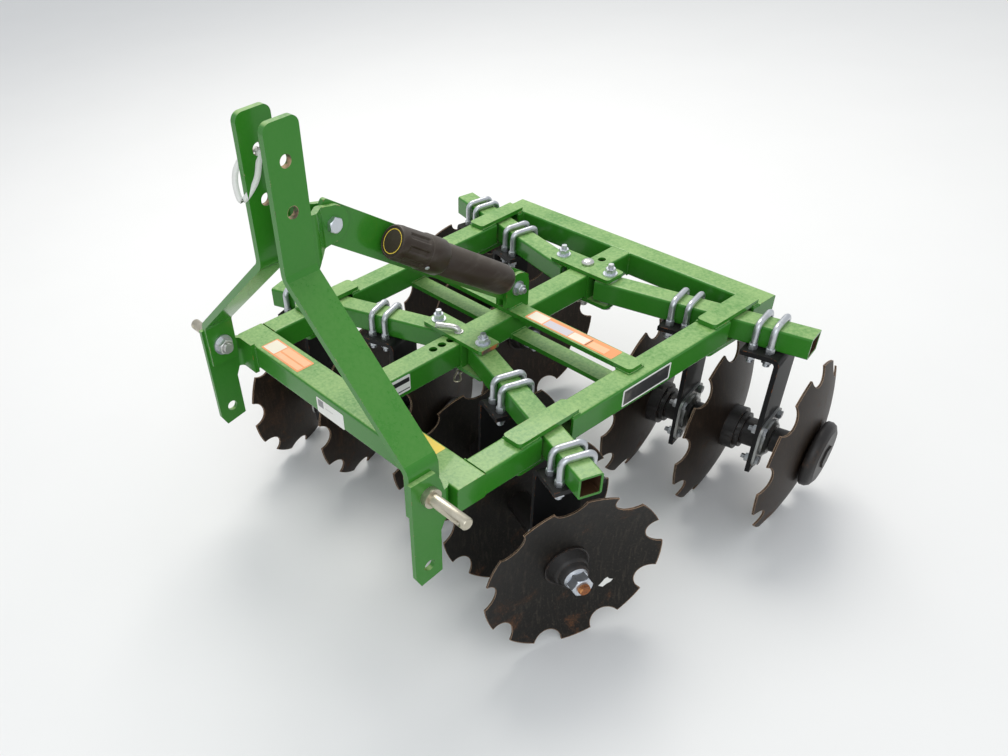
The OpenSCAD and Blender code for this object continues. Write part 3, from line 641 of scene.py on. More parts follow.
def rounded(width, height, radius, steps=5):
    """Outline of a rectangle with round corners, about its middle."""
    corners = []
    for k, (x, y) in enumerate(((1, 1), (-1, 1), (-1, -1), (1, -1))):
        for step in range(steps + 1):
            angle = math.pi / 2 * (k + step / steps)
            corners.append((
                x * (width / 2 - radius) + radius * math.cos(angle),
                y * (height / 2 - radius) + radius * math.sin(angle),
            ))
    return corners


def oblong(width, height):
    """Corners of a rectangle about its middle."""
    return [(x * width / 2, y * height / 2) for x, y in ((-1, -1), (1, -1), (1, 1), (-1, 1))]


def plate(mesh, outline, place, across, along, low, high, slot=0):
    """A flat plate in the bmesh, between two heights over a surface."""
    normal = across.cross(along)
    under = [mesh.verts.new(place + across * u + along * v + normal * low) for u, v in outline]
    over = [mesh.verts.new(vertex.co + normal * (high - low)) for vertex in under]
    faces = [mesh.faces.new(reversed(under)), mesh.faces.new(over)]
    for face in faces + bridge(mesh, under, over):
        face.material_index = slot


def circle(radius, count):
    return [(radius * math.cos(math.tau * k / count), radius * math.sin(math.tau * k / count)) for k in range(count)]


# Fasteners


def hexagons(name, look, flats, depth):
    """Hexagon nuts or heads with a turned chamfer at the outer end."""
    tree = Build(name, flats=flats, depth=depth)
    flats, depth = tree.given_size("Flats"), tree.given_size("Depth")
    corner = flats * (0.5 / math.cos(math.pi / 6))
    blank = tree.add(
        "GeometryNodeMeshCylinder",
        values={"Vertices": 48, "Side Segments": 9, "Radius": corner, "Depth": depth},
    )
    place = tree.add("ShaderNodeSeparateXYZ", values={"Vector": tree.add("GeometryNodeInputPosition")})
    x, y, z = (Field(tree, part) for part in place.outputs)
    turn = y.math("ARCTAN2", y, x).math("FLOORED_MODULO", y.math("ARCTAN2", y, x), math.pi / 3) - math.pi / 6
    share = 1 - (0.5 - z / depth) ** 2.2
    side = flats * 0.5 / turn.math("COSINE", turn)
    chamfer = corner * 0.995 - (share * depth - depth + flats * 0.08).most(0.0) * 1.35
    reach = side.least(chamfer) / corner
    moved = tree.add("ShaderNodeCombineXYZ", values={"X": x * reach, "Y": y * reach, "Z": share * depth})
    shaped = tree.add("GeometryNodeSetPosition", values={"Geometry": blank, "Position": moved})
    tree.close(tree.set_on_points(shaped), look)
    return tree


def threads(name, look, radius, reach, pitch):
    """Threaded ends: a core with a ridge wound round it."""
    tree = Build(name, radius=radius, reach=reach, pitch=pitch)
    radius, reach, pitch = (tree.given_size(label) for label in ("Radius", "Reach", "Pitch"))
    winding = tree.add(
        "GeometryNodeCurveSpiral",
        values={"Resolution": 20, "Rotations": reach / pitch - 0.4, "Start Radius": radius - pitch * 0.35,
                "End Radius": radius - pitch * 0.35, "Height": reach - pitch * 0.6},
    )
    ridge = tree.add("GeometryNodeCurvePrimitiveCircle", values={"Resolution": 4, "Radius": pitch * 0.42})
    wound = tree.add("GeometryNodeCurveToMesh", values={"Curve": winding, "Profile Curve": ridge, "Fill Caps": True})
    core = tree.add(
        "GeometryNodeMeshCylinder", values={"Vertices": 28, "Radius": radius - pitch * 0.25, "Depth": reach}
    )
    up = tree.add("ShaderNodeCombineXYZ", values={"Z": reach * 0.5})
    lifted = tree.add("GeometryNodeTransform", values={"Geometry": core, "Translation": up})
    tree.close(tree.set_on_points(tree.joined(wound, lifted)), look)
    return tree


def collars(name, look, low, high, depth):
    """Turned rings, wider at one end."""
    tree = Build(name, low=low, high=high, depth=depth)
    cone = tree.add(
        "GeometryNodeMeshCone",
        values={"Vertices": 48, "Radius Bottom": tree.given["Low"], "Radius Top": tree.given["High"],
                "Depth": tree.given["Depth"]},
    )
    tree.close(tree.set_on_points(cone), look)
    return tree


def beads(name, look, bead, ripple):
    """Weld beads: a rod along each path, with uneven drops on it."""
    tree = Build(name, bead=bead, ripple=ripple)
    path = tree.add("GeometryNodeMeshToCurve", values={"Mesh": tree.given["Geometry"]})
    even = tree.add("GeometryNodeResampleCurve", {"mode": "LENGTH"}, {"Curve": path, "Length": tree.given["Ripple"]})
    drop = tree.add("GeometryNodeMeshIcoSphere", values={"Radius": tree.given["Bead"], "Subdivisions": 2})
    least, most = 0.8, 1.12
    uneven = tree.add(
        "FunctionNodeRandomValue", {"data_type": "FLOAT_VECTOR"}, {0: (least,) * 3, 1: (most,) * 3, "Seed": 4}
    )
    drops = tree.add("GeometryNodeInstanceOnPoints", values={"Points": even, "Instance": drop, "Scale": uneven})
    round_rod = tree.add(
        "GeometryNodeCurvePrimitiveCircle", values={"Resolution": 10, "Radius": tree.given_size("Bead") * 0.8}
    )
    rod = tree.add("GeometryNodeCurveToMesh", values={"Curve": even, "Profile Curve": round_rod, "Fill Caps": True})
    tree.close(tree.joined(drops, rod), look)
    return tree


# Where the hangers' legs stand along a gang, front (True) and rear, and how thick they and the bearings'
# flanges are
LEGS = {True: (0.090, 0.31694), False: (0.20867, 0.37567)}
HANGER, FLANGE = 0.0095, 0.005
# U-bolts: how far from a hanger's leg, their own legs from the beam's middle, and the heights over the axle of
# their threads and collars
UBOLTS = (0.023, 0.055)
UBOLT_LEG = 0.030
UBOLT_THREAD, UBOLT_COLLAR = 0.1802, 0.2083
# Where the axles' castings are cut off, and which way their nuts face
AXLE_ENDS = {True: (0.3976, 1), False: (0.1113, -1)}
# Open ends of the gang beams: the lined length, half the opening, and the beam's height over the axle
BEAM_ENDS = {True: (0.3700, 0.4172), False: (0.3700, 0.4170)}
BEAM_INSIDE = 0.0173
BEAM_UP = 0.2306
# Pivot bolts: y of each pair, their distance from the middle, and their upper and lower seats
PIVOTS = (("front", 0.317), ("rear", 0.676))
PIVOT_SIDE = 0.064
PIVOT_SEATS = (0.0084, -0.0592)
# Hitch pins: y and z of their axis, and where their nuts' washers stand; the mast's bores have the same y
PIN_Y, PIN_Z = -0.052, 0.015
PIN_FACE = 0.3078
MAST_BORES = (0.472, 0.396)
# y and z of the brace's two bolts
BRACE_FOOT, BRACE_TOP = (0.458, 0.049), (0.036, 0.337)


class HARROW_OT_bearing_bolts(bpy.types.Operator):
    """Bolt every bearing to its hanger"""

    bl_idname = "harrow.bearing_bolts"
    bl_label = "Bearing bolts"

    def execute(self, context):
        sizes = context.scene.harrow_sizes
        depth = 0.0085
        nuts = hexagons("bearing_nuts", "dull_zinc", sizes.bolt_flats, depth)
        heads = hexagons("bearing_heads", "dull_zinc", sizes.bolt_flats, depth=0.0065)
        ends = threads("bearing_threads", "dull_zinc", radius=0.005, reach=0.008, pitch=sizes.pitch * 0.8)
        for gang in GANGS:
            spots = [(leg, b * sizes.bolt_spread, z * sizes.bolt_spread)
                     for leg in LEGS[gang.front] for b in (-1, 1) for z in (-1, 1)]
            inner = [(gang.at(leg - HANGER / 2, b, z), -gang.along, UP) for leg, b, z in spots]
            outer = [(gang.at(leg + HANGER / 2 + FLANGE, b, z), gang.along, UP) for leg, b, z in spots]
            body = gang.name + "_hanger"
            stack(inner, body, (nuts, 0))
            stack(outer, body, (heads, 0))
            stack(inner, body, (ends, depth))
        return {"FINISHED"}


class HARROW_OT_u_bolt_threads(bpy.types.Operator):
    """Put collars and threads on the lower ends of the U-bolts"""

    bl_idname = "harrow.u_bolt_threads"
    bl_label = "U-bolt threads"

    def execute(self, context):
        sizes = context.scene.harrow_sizes
        ends = threads("u_bolt_threads", "zinc", radius=0.0067, reach=0.0076, pitch=sizes.pitch)
        feet = hexagons("u_bolt_collars", "zinc", flats=0.0152, depth=0.0115)
        for gang in GANGS:
            side = 1 if gang.front else -1
            for tree, up in ((ends, UBOLT_THREAD), (feet, UBOLT_COLLAR)):
                seats = [(gang.at(leg + side * u, back, up), UP, gang.along)
                         for leg in LEGS[gang.front] for u in UBOLTS for back in (-UBOLT_LEG, UBOLT_LEG)]
                tree.grow(dots(seats), gang.name + "_hanger")
        return {"FINISHED"}


class HARROW_OT_axle_nuts(bpy.types.Operator):
    """Finish the axles' castings, each with a chamfered nut and a rusty thread at its end"""

    bl_idname = "harrow.axle_nuts"
    bl_label = "Axle nuts"

    # Distance and radius of the neck at the end of a casting
    NECK = ((-0.0020, 0.0300), (0.0005, 0.0306), (0.0050, 0.0285), (0.0098, 0.0268), (0.0112, 0.0252))

    def execute(self, context):
        sizes = context.scene.harrow_sizes
        nuts = hexagons("axle_nut", "bright_zinc", sizes.axle_flats, depth=0.0225)
        shoulders = collars("axle_shoulder", "bright_zinc", low=0.0235, high=0.0208, depth=0.0055)
        ends = threads("axle_thread", "rusty_end", sizes.axle_flats * 0.30, reach=0.0078, pitch=0.0026)
        for gang in GANGS:
            start, way = AXLE_ENDS[gang.front]
            place, ahead = gang.at(start, 0, 0), gang.along * way
            body = gang.name + "_gang"
            casting = trimmed(gang.name + "_axle", [(place, ahead, 0)])
            parts = (casting, turned(self.NECK, place, ahead, gang.back, 56))
            piece = place_piece(gang.name + "_spools", merged(parts, "spools"), body, "cast_grey")
            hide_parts(gang.name + "_axle")
            stack([(place, ahead, gang.back)], body, (shoulders, 0.0108), (nuts, 0.0153), (ends, 0.0370))
        return {"FINISHED"}


class HARROW_OT_pivot_bolts(bpy.types.Operator):
    """Give the angle brackets' pivot bolts their washers, nuts, heads and threads"""

    bl_idname = "harrow.pivot_bolts"
    bl_label = "Pivot bolts"

    def execute(self, context):
        sizes = context.scene.harrow_sizes
        washers = collars("pivot_washers", "bright_zinc", low=0.0150, high=0.0147, depth=0.0026)
        nuts = hexagons("pivot_nuts", "bright_zinc", sizes.pivot_flats, depth=0.0115)
        ends = threads("pivot_threads", "zinc", sizes.pivot_flats * 0.31, reach=0.0085, pitch=sizes.pitch)
        heads = hexagons("pivot_heads", "zinc", sizes.pivot_flats, depth=0.0085)
        for name, y in PIVOTS:
            body = name + "_bracket"
            over, under = (on_frame(0, y, z) for z in PIVOT_SEATS)
            inside = trimmed(name + "_pivot_bolts", [(over, UP, 0), (under, -UP, 0)])
            piece = place_piece(name + "_pivot_shanks", inside, body, "zinc")
            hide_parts(name + "_pivot_bolts")
            sides = [X * side for side in (-PIVOT_SIDE, PIVOT_SIDE)]
            upper = [(over + side, UP, X) for side in sides]
            lower = [(under + side, -UP, X) for side in sides]
            # The two nuts are turned by about 30 degrees, opposite ways
            turned_seats = [(over + side, UP, X + Y * side.x * 9) for side in sides]
            stack(upper + lower, body, (washers, 0))
            stack(turned_seats, body, (nuts, 0.0025))
            stack(upper, body, (ends, 0.0135))
            stack(lower, body, (heads, 0.0025))
        return {"FINISHED"}


class HARROW_OT_hitch_nuts(bpy.types.Operator):
    """Hold the hitch pins and the brace's two bolts with washers, nuts and heads"""

    bl_idname = "harrow.hitch_nuts"
    bl_label = "Hitch and brace nuts"

    def execute(self, context):
        sizes = context.scene.harrow_sizes
        seat = on_frame(0, PIN_Y, PIN_Z)
        cuts = [(seat + X * side * (PIN_FACE + 0.0001), -X * side, side) for side in (-1, 1)]
        piece = place_piece("hitch_pin_bodies", trimmed("hitch_pins", cuts), "frame", "yellow_zinc")
        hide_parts("hitch_pins")
        washers = collars("hitch_washers", "bright_zinc", low=0.0212, high=0.0210, depth=0.0036)
        nuts = hexagons("hitch_nuts", "pin_zinc", sizes.hitch_flats, depth=0.0150)
        ends = threads("hitch_threads", "pin_zinc", radius=0.0098, reach=0.0080, pitch=sizes.pitch)
        stack(pair(seat, PIN_FACE, -1), "frame", (washers, 0), (nuts, 0.0035), (ends, 0.0180))
        foot, top = on_frame(0, *BRACE_FOOT), on_frame(0, *BRACE_TOP)
        shanks = [turned([(-0.0200, 0.0078), (0.0200, 0.0078)], place, X, UP, 32) for place in (foot, top)]
        piece = place_piece("brace_shanks", merged(shanks, "shanks"), "frame", "zinc")
        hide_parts("brace_bolts")
        heads = hexagons("brace_heads", "bright_zinc", sizes.brace_flats, depth=0.0095)
        small = hexagons("brace_foot_nuts", "bright_zinc", sizes.pivot_flats, depth=0.0105)
        plain = collars("brace_washers", "bright_zinc", low=0.0150, high=0.0147, depth=0.0022)
        tips = threads("brace_threads", "zinc", radius=0.0060, reach=0.0070, pitch=sizes.pitch)
        stack(pair(top, 0.0149), "frame", (heads, 0))
        stack(pair(foot, 0.0144), "frame", (plain, 0), (small, 0.0021))
        tips.grow(dots([(foot + X * 0.0265, X, UP), (top - X * 0.0240, -X, UP)]), "frame")
        return {"FINISHED"}


class HARROW_OT_welds(bpy.types.Operator):
    """Lay weld beads where the frame's tubes, straps and plates meet"""

    bl_idname = "harrow.welds"
    bl_label = "Weld beads"

    def execute(self, context):
        sizes = context.scene.harrow_sizes
        paths = []

        def run(*points):
            for side in (-1, 1):
                paths.append([on_frame(side * x, y, z) for x, y, z in points])

        # Corners where the rails and the centre tube meet the cross tubes
        for y in (0.0637, 0.7830):
            for x in (0.2890, 0.0256):
                run((x, y, -0.0495), (x, y, -0.002))
        # Straps on the rails and the centre tube
        for y in (0.4338, 0.4722):
            run((0.291, y, 0.0002), (0.318, y, 0.0002))
            run((0.2888, y, -0.0500), (0.2888, y, -0.0415))
            run((0.0258, y, -0.0500), (0.0258, y, -0.0415))
        run((0.3202, 0.436, 0.0002), (0.3202, 0.470, 0.0002))
        run((0.2888, 0.436, -0.0411), (0.2888, 0.470, -0.0411))
        run((0.0258, 0.436, -0.0411), (0.0258, 0.470, -0.0411))
        # Slot plates on the rails
        for x in (0.2934, 0.3358):
            for low, high in ((0.148, 0.190), (0.272, 0.287), (0.656, 0.694), (0.769, 0.781)):
                run((x, low, 0.0002), (x, high, 0.0002))
        # Hitch lugs on the front tube, and the brace's bracket on the upper strap
        run((0.272, -0.0002, 0.0004), (0.318, -0.0002, 0.0004))
        run((0.270, -0.0004, -0.048), (0.270, -0.0004, -0.003))
        run((0.0147, 0.436, 0.0097), (0.0147, 0.470, 0.0097))
        beads("welds", "green_paint", sizes.bead, sizes.ripple).grow(lines(paths), "frame")
        return {"FINISHED"}


class HARROW_OT_end_caps(bpy.types.Operator):
    """Close the ends of the two cross tubes"""

    bl_idname = "harrow.end_caps"
    bl_label = "End caps"

    def execute(self, context):
        thick = context.scene.harrow_sizes.cap
        gap = 0.0012
        for name in ("front_tube", "rear_tube"):
            low, high = (Vector(corner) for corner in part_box(name))
            middle = (low + high) / 2
            bm = bmesh.new()
            for side in (-1, 1):
                end = Vector((high.x if side > 0 else low.x, middle.y, middle.z))
                outline = rounded(high.y - low.y - gap, high.z - low.z - gap, 0.005)
                plate(bm, outline, end, Vector((0, side, 0)), UP, -thick, 0.0001)
            place_piece(name + "_caps", mesh_of(bm, "caps"), "frame", "green_paint")
        return {"FINISHED"}


class HARROW_OT_beam_insides(bpy.types.Operator):
    """Line the open ends of the gang beams with rust"""

    bl_idname = "harrow.beam_insides"
    bl_label = "Beam insides"

    def execute(self, context):
        inner = BEAM_INSIDE - 0.0002
        for gang in GANGS:
            low, high = BEAM_ENDS[gang.front]
            bm = bmesh.new()
            rings = []
            for half, u in ((BEAM_INSIDE, low), (BEAM_INSIDE, high), (inner, high), (inner, low)):
                outline = rounded(2 * half, 2 * half, 0.0015, 2)
                rings.append([bm.verts.new(gang.at(u, b, BEAM_UP + z)) for b, z in outline])
            for k, ring in enumerate(rings):
                bridge(bm, ring, rings[(k + 1) % 4])
            bmesh.ops.recalc_face_normals(bm, faces=bm.faces)
            body = gang.name + "_hanger"
            place_piece(gang.name + "_beam_inside", mesh_of(bm, "inside"), body, "tube_rust")
        return {"FINISHED"}


class HARROW_OT_labels(bpy.types.Operator):
    """Put blank labels where the machine has its signs"""

    bl_idname = "harrow.labels"
    bl_label = "Blank labels"

    # name, corner on the frame, directions across and along, width, height,
    # ground, then fields as colour, from and to across, from and to along
    LABELS = (
        ("tube_label_far", (-0.262, 0.009, 0), X, Y, 0.131, 0.042, "orange",
         (("cream", 0.003, 0.042, 0.004, 0.038), ("pale_orange", 0.046, 0.127, 0.021, 0.038),
          ("pale_orange", 0.046, 0.127, 0.004, 0.017))),
        ("tube_label_near", (0.098, 0.024, 0), X, Y, 0.148, 0.035, "yellow",
         (("blush", 0.104, 0.142, 0.004, 0.016), ("cream", 0.006, 0.040, 0.005, 0.030))),
        ("tube_label_front", (-0.058, 0, -0.0495), X, UP, 0.086, 0.035, "white",
         (("grey", 0.005, 0.022, 0.016, 0.032), ("pale_grey", 0.028, 0.052, 0.019, 0.021))),
        ("strap_label", (0.055, 0.438, 0.0095), X, Y, 0.218, 0.032, "orange",
         (("cream", 0.004, 0.043, 0.003, 0.029), ("lilac", 0.046, 0.108, 0.003, 0.023),
          ("cream", 0.110, 0.150, 0.003, 0.023), ("ink", 0.1525, 0.1538, 0.002, 0.026),
          ("pale_orange", 0.157, 0.198, 0.004, 0.022))),
        ("stub_label", (0.0254, 0.114, -0.040), Y, UP, 0.050, 0.036, "white",
         (("ink", 0.002, 0.048, 0.020, 0.030), ("pale_orange", 0.002, 0.015, 0.005, 0.016),
          ("ink", 0.018, 0.048, 0.005, 0.007))),
        ("rail_sign", (0.340, 0.397, -0.043), Y, UP, 0.129, 0.036, "white",
         (("ink", 0.0035, 0.1255, 0.0035, 0.0325),)),
    )

    def execute(self, context):
        thick = context.scene.harrow_sizes.label
        for name, corner, across, along, width, height, ground, fields in self.LABELS:
            tones = [ground] + sorted({tone for tone, *_ in fields} - {ground})
            place = on_frame(*corner)
            bm = bmesh.new()
            middle = place + across * (width / 2) + along * (height / 2)
            plate(bm, rounded(width, height, 0.003), middle, across, along, 0, thick)
            for n, (tone, left, right, low, high) in enumerate(fields):
                centre = place + across * ((left + right) / 2) + along * ((low + high) / 2)
                outline = rounded(right - left, high - low, 0.0006, 2)
                plate(bm, outline, centre, across, along, thick, thick * (1.3 + 0.2 * n), tones.index(tone))
            place_piece(name, mesh_of(bm, name), "frame", *("label_" + tone for tone in tones))
        self.scrap(context.scene, thick)
        return {"FINISHED"}

    def scrap(self, scene, thick):
        """What is left of a label on the nearest disc."""
        camera = scene.camera
        view = scene.harrow_camera
        # In the picture the scrap is at 605, 582
        look = Vector((605 - view.centre_x, view.centre_y - 582, -view.focal))
        ahead = (camera.matrix_world.to_3x3() @ look).normalized()
        hit, place, normal, _ = NODES["front_left_discs"].ray_cast(camera.matrix_world.translation, ahead)
        if not hit:
            raise RuntimeError("the scrap's disc isn't in view")
        across = UP.cross(normal).normalized()
        outline = [(-0.013, -0.006), (-0.004, -0.010), (0.003, -0.004), (0.010, -0.001), (0.015, 0.005),
                   (0.008, 0.007), (0.004, 0.012), (-0.002, 0.008), (-0.006, 0.002)]
        bm = bmesh.new()
        plate(bm, outline, place, across, normal.cross(across), -0.0004, thick * 1.5)
        place_piece("label_scrap", mesh_of(bm, "scrap"), "front_left_gang", "label_white")


class HARROW_OT_tag_band(bpy.types.Operator):
    """Hang the white band through the far upright's upper hole"""

    bl_idname = "harrow.tag_band"
    bl_label = "Tag band"

    def execute(self, context):
        sizes = context.scene.harrow_sizes
        course = [(-0.0320, -0.0520, 0.4660), (-0.0270, -0.0570, 0.4530), (-0.0270, -0.0680, 0.4280),
                  (-0.0360, -0.0905, 0.4050), (-0.0465, -0.0920, 0.4215), (-0.0470, -0.0880, 0.4450),
                  (-0.0455, -0.0740, 0.4620), (-0.0420, -0.0580, 0.4690), (-0.0365, -0.0515, 0.4695)]
        path = smooth_path([on_frame(*point) for point in course], 8, closed=True)
        outline = oblong(sizes.tag_width, sizes.tag)
        band = swept(path, outline, Vector((0.55, 0.8, 0.1)).normalized(), closed=True)
        place_piece("tag_band", band, "frame", "band")
        return {"FINISHED"}


class HARROW_OT_adjusting_pins(bpy.types.Operator):
    """Make the two adjusting pins, each held by a sprung clip"""

    bl_idname = "harrow.adjusting_pins"
    bl_label = "Adjusting pins"

    # Name, y, and the way of the clip
    PINS = (("front", 0.313, Vector((0.48, -0.88, 0))), ("rear", 0.680, Vector((0.5, 0.87, 0))))
    # Distance and radius: both pins' lower ends, the front one's collar and the rear one's knob
    END = ((0, 0.0079), (0.0345, 0.0079), (0.0362, 0.0068), (0.0368, 0.0050))
    COLLAR = ((0, 0.0094), (0.0012, 0.0094), (0.0018, 0.0086))
    KNOB = ((0, 0.0079), (0.0082, 0.0079), (0.0083, 0.0128), (0.0118, 0.0130), (0.0150, 0.0105), (0.0168, 0.0060))
    # The front pin's bent handle
    HANDLE = ((0, 0.313, 0.0006), (0, 0.313, 0.005), (-0.0005, 0.3128, 0.0100), (-0.004, 0.3105, 0.0155),
              (-0.012, 0.3055, 0.0180), (-0.026, 0.2965, 0.0188), (-0.0395, 0.2880, 0.0196))
    # Clip in its own plane: along the leg through the pin, and aside
    CLIP = ((-0.016, 0), (0, 0), (0.022, 0), (0.034, 0.001), (0.043, 0.005), (0.044, 0.012), (0.036, 0.015),
            (0.026, 0.011), (0.015, 0.0075), (0.007, 0.0105), (0, 0.0115), (-0.008, 0.010), (-0.014, 0.0125))

    def execute(self, context):
        wire = context.scene.harrow_sizes.clip
        for name, y, clip_way in self.PINS:
            parts = [turned(self.END, on_frame(0, y, -0.0510), -UP, X, 40)]
            if name == "front":
                path = smooth_path([on_frame(*point) for point in self.HANDLE], 6)
                parts.append(swept(path, circle(0.0062, 24), Vector((0.56, -0.83, 0))))
                parts.append(turned(self.COLLAR, on_frame(0, y, 0.0085), UP, X, 40))
            else:
                parts.append(turned(self.KNOB, on_frame(0, y, 0.0006), UP, X, 48))
            body = name + "_bracket"
            piece = place_piece(name + "_pin", merged(parts, "pin"), body, "pin_zinc")
            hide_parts(name + "_adjusting_pin")
            aside = UP.cross(clip_way)
            middle = on_frame(0, y, -0.0780)
            path = smooth_path([middle + clip_way * u + aside * v for u, v in self.CLIP], 6)
            place_piece(name + "_pin_clip", swept(path, circle(wire, 10), UP), body, "clip_wire")
        return {"FINISHED"}


class HARROW_OT_canister_cap(bpy.types.Operator):
    """Make the canister's fluted cap with its ring and screw, and end the tube inside it"""

    bl_idname = "harrow.canister_cap"
    bl_label = "Canister cap"

    def execute(self, context):
        depth = context.scene.harrow_sizes.flutes
        fall = Vector((0, 0.422, -0.288)).normalized()
        steady = X
        face = on_frame(0.038, 0.1332, 0.2791)

        def flutes(distance, angle):
            """Eight flutes round the cap, which run out at both ends."""
            run = min(max((distance - 0.016) / 0.004, 0), 1) * min(max((0.067 - distance) / 0.004, 0), 1)
            return depth * run * min(1, max(0, 1.6 * math.cos(8 * angle)))

        profile = [(0, 0.0100), (0.0012, 0.0225), (0.0012, 0.0240), (0, 0.0246), (0.0004, 0.0262), (0.0022, 0.0276)]
        profile += [(0.005, 0.0282), (0.010, 0.0289)]
        profile += [(0.014 + 0.056 * k / 32, 0.0293 + 0.0011 * k / 32) for k in range(33)]
        profile += [(0.0728, 0.0304), (0.0735, 0.0312), (0.0750, 0.0318), (0.1165, 0.0318), (0.1185, 0.0310)]
        profile += [(0.1192, 0.0286)]
        cap = turned(profile, face, fall, steady, 176, flutes)
        piece = place_piece("fluted_cap", cap, "frame", "grey_plastic")
        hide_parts("canister_cap")
        # The tube ends inside the cap's collar, clear of the flutes
        tube = trimmed("manual_canister", [(face + fall * 0.080, -fall, 0)])
        piece = place_piece("canister_tube", tube, "frame", "grey_plastic")
        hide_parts("manual_canister")
        turn = math.radians(40)
        out = steady * math.cos(turn) - steady.cross(fall) * math.sin(turn)
        screw = turned(
            [(0, 0.0040), (0.0016, 0.0040), (0.0026, 0.0028), (0.0028, 0.0010)],
            face + fall * 0.078 + out * 0.0312, out, fall, 24,
        )
        place_piece("canister_screw", screw, "frame", "bright_zinc")
        # A plain yellow ring on the cap's face
        other = fall.cross(steady)
        round_face = [face + fall * 0.0009 + steady * x + other * y for x, y in circle(0.0201, 72)]
        ring = swept(round_face, oblong(0.0006, 0.0012), fall, closed=True)
        place_piece("cap_ring", ring, "frame", "label_yellow")
        return {"FINISHED"}


# Stage


def camera_matrix(place, yaw, pitch, roll):
    forward = Vector((-math.sin(yaw) * math.cos(pitch), math.cos(yaw) * math.cos(pitch), -math.sin(pitch)))
    level = Vector((math.cos(yaw), math.sin(yaw), 0))
    above = level.cross(forward)
    right = level * math.cos(roll) + above * math.sin(roll)
    up = above * math.cos(roll) - level * math.sin(roll)
    turn = Matrix((right, up, -forward)).transposed().to_4x4()
    return Matrix.Translation(place) @ turn


class HARROW_OT_stage(bpy.types.Operator):
    """Make the floor, the lamps and the camera"""

    bl_idname = "harrow.stage"
    bl_label = "Stage"

    def execute(self, context):
        scene = context.scene
        scene.view_settings.view_transform = "Standard"
        self.floor(scene.harrow_colours.floor)
        self.lamps()
        self.camera(scene, scene.harrow_camera)
        return {"FINISHED"}

    def floor(self, tone):
        mesh = bpy.data.meshes.new("floor")
        mesh.from_pydata([(x, y, 0) for x, y in oblong(80, 80)], [], [(0, 1, 2, 3)])
        floor = bpy.data.objects.new("floor", mesh)
        bpy.context.collection.objects.link(floor)
        f = Finish("floor")
        f.set(colour=f.mix(tone, tuple(0.97 * c for c in tone), f.noise(3, 4)), roughness=0.9)
        mesh.materials.append(f.material)

    def lamps(self):
        world = bpy.data.worlds.new("studio")
        world.use_nodes = True
        bpy.context.scene.world = world
        sky = world.node_tree.nodes["Background"].inputs
        sky["Color"].default_value = (0.93, 0.96, 1.0, 1)
        sky["Strength"].default_value = 0.75
        # name, place, power, side, colour
        lamps = (
            ("key", (-1.6, 1.2, 3.6), 95, 2.2, (1.0, 0.97, 0.92)),
            ("fill", (2.6, -2.2, 2.6), 38, 2.6, (0.92, 0.96, 1.0)),
        )
        for name, place, power, side, tint in lamps:
            lamp = bpy.data.lights.new(name, "AREA")
            lamp.energy = power
            lamp.size = side
            lamp.color = tint
            obj = bpy.data.objects.new(name, lamp)
            obj.location = place
            obj.rotation_euler = (Vector((0, 0, 0.3)) - Vector(place)).to_track_quat("-Z", "Y").to_euler()
            bpy.context.collection.objects.link(obj)

    def camera(self, scene, view):
        width, height = PICTURE
        data = bpy.data.cameras.new("camera")
        data.sensor_width = 36
        data.lens = view.focal / width * data.sensor_width
        data.shift_x = (width / 2 - view.centre_x) / width
        data.shift_y = (view.centre_y - height / 2) / width
        data.clip_start = 0.02
        camera = bpy.data.objects.new("camera", data)
        camera.matrix_world = camera_matrix(Vector(view.place), view.yaw, view.pitch, view.roll)
        bpy.context.collection.objects.link(camera)
        scene.camera = camera


# Finishes of the solids


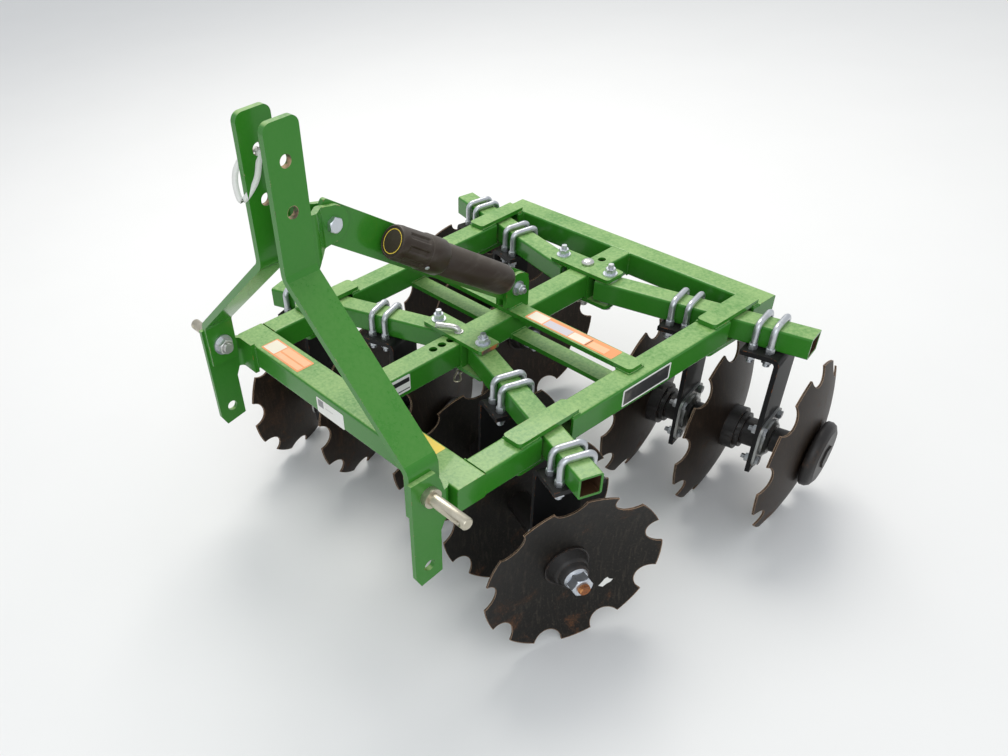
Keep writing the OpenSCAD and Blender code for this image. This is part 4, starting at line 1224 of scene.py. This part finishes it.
class HARROW_OT_finish_solids(bpy.types.Operator):
    """Give every solid its paint, plating, scale or plastic"""

    bl_idname = "harrow.finish_solids"
    bl_label = "Finish solids"

    def execute(self, context):
        c = context.scene.harrow_colours

        def green(name, rust, **more):
            return paint_finish(name, c.green, c.green_dust_and_sunlight, rust, gloss=0.22, chips=0.42, **more)

        FINISHES.update({
            "green_paint": green("green paint", c.rust),
            "black_paint": paint_finish("black paint", c.black, (0.030, 0.028, 0.025), c.rust, 0.52, 0.46, 0.5, 0.2),
            "mast_paint": green(
                "mast paint", (0.50, 0.36, 0.22), bores=[(FACE + PIN_Y, TOP + z) for z in MAST_BORES]
            ),
            "bracket_paint": green("bracket paint", (0.42, 0.13, 0.04), bare_end=0.0838),
            "zinc": plated_finish("zinc", c.zinc, (0.75, 0.78, 0.80), 0.35),
            "yellow_zinc": plated_finish("yellow zinc", c.yellow_zinc, (0.66, 0.62, 0.52), 0.5),
            "cast_grey": casting_finish("casting", c.casting, c.rust),
            "bearing_steel": plated_finish("bearing steel", (0.42, 0.43, 0.42), (0.55, 0.54, 0.50), 0.3),
            "disc_steel": disc_finish("disc steel", c.brown_disc, (0.085, 0.054, 0.034), c.rust),
            "dark_disc": disc_finish("dark disc", c.disc, (0.075, 0.061, 0.045), c.rust),
            "grey_plastic": plastic_finish("canister plastic", c.plastic, c.dust),
            "dull_zinc": plated_finish("dull zinc", (0.46, 0.48, 0.50), (0.60, 0.60, 0.58), 0.45),
            "bright_zinc": plated_finish("bright zinc", (0.62, 0.65, 0.70), (0.78, 0.80, 0.82), 0.1),
            "pin_zinc": plated_finish("pin zinc", (0.60, 0.60, 0.58), (0.74, 0.72, 0.66), 0.25),
            "clip_wire": plated_finish("clip wire", (0.62, 0.56, 0.42), (0.75, 0.70, 0.58), 0.2),
            "rusty_end": rust_finish("rusty end", c.rust),
            "tube_rust": casting_finish("tube rust", (0.060, 0.028, 0.012), (0.20, 0.07, 0.02)),
            "band": label_finish("band", c.label_white),
        })
        for tone in LABEL_TONES:
            FINISHES["label_" + tone] = label_finish("label " + tone.replace("_", " "), getattr(c, "label_" + tone))
        slots = {part["node"]: part["material_slot"] for part in frame["record"]["subparts"]}
        slots["front_angle_bracket"] = "bracket_paint"
        slots["mast_uprights"] = "mast_paint"
        slots["front_left_discs"] = "dark_disc"
        for node, obj in NODES.items():
            obj.data.materials.clear()
            obj.data.materials.append(FINISHES[slots[node]])
        return {"FINISHED"}


class HARROW_PT_panel(bpy.types.Panel):
    """Sizes, colours and steps of the harrow's looks"""

    bl_idname = "HARROW_PT_panel"
    bl_label = "Disc harrow"
    bl_space_type = "VIEW_3D"
    bl_region_type = "UI"
    bl_category = "Harrow"

    def draw(self, context):
        for operator in OPERATORS:
            self.layout.operator(operator.bl_idname)
        scene = context.scene
        for group in (scene.harrow_sizes, scene.harrow_colours, scene.harrow_camera):
            box = self.layout.box()
            for name in group.__annotations__:
                box.prop(group, name)


OPERATORS = (
    HARROW_OT_stage, HARROW_OT_finish_solids, HARROW_OT_bearing_bolts, HARROW_OT_u_bolt_threads,
    HARROW_OT_axle_nuts, HARROW_OT_pivot_bolts, HARROW_OT_hitch_nuts, HARROW_OT_welds, HARROW_OT_end_caps,
    HARROW_OT_beam_insides, HARROW_OT_labels, HARROW_OT_tag_band, HARROW_OT_adjusting_pins,
    HARROW_OT_canister_cap,
)
CLASSES = (HARROW_PG_sizes, HARROW_PG_colours, HARROW_PG_camera, *OPERATORS, HARROW_PT_panel)


def register():
    for cls in CLASSES:
        bpy.utils.register_class(cls)
    bpy.types.Scene.harrow_colours = PointerProperty(type=HARROW_PG_colours)
    bpy.types.Scene.harrow_sizes = PointerProperty(type=HARROW_PG_sizes)
    bpy.types.Scene.harrow_camera = PointerProperty(type=HARROW_PG_camera)


def unregister():
    del bpy.types.Scene.harrow_camera
    del bpy.types.Scene.harrow_sizes
    del bpy.types.Scene.harrow_colours
    for cls in reversed(CLASSES):
        bpy.utils.unregister_class(cls)


def main():
    register()
    for operator in OPERATORS:
        namespace, name = operator.bl_idname.split(".")
        getattr(getattr(bpy.ops, namespace), name)()


if __name__ == "__main__":
    main()
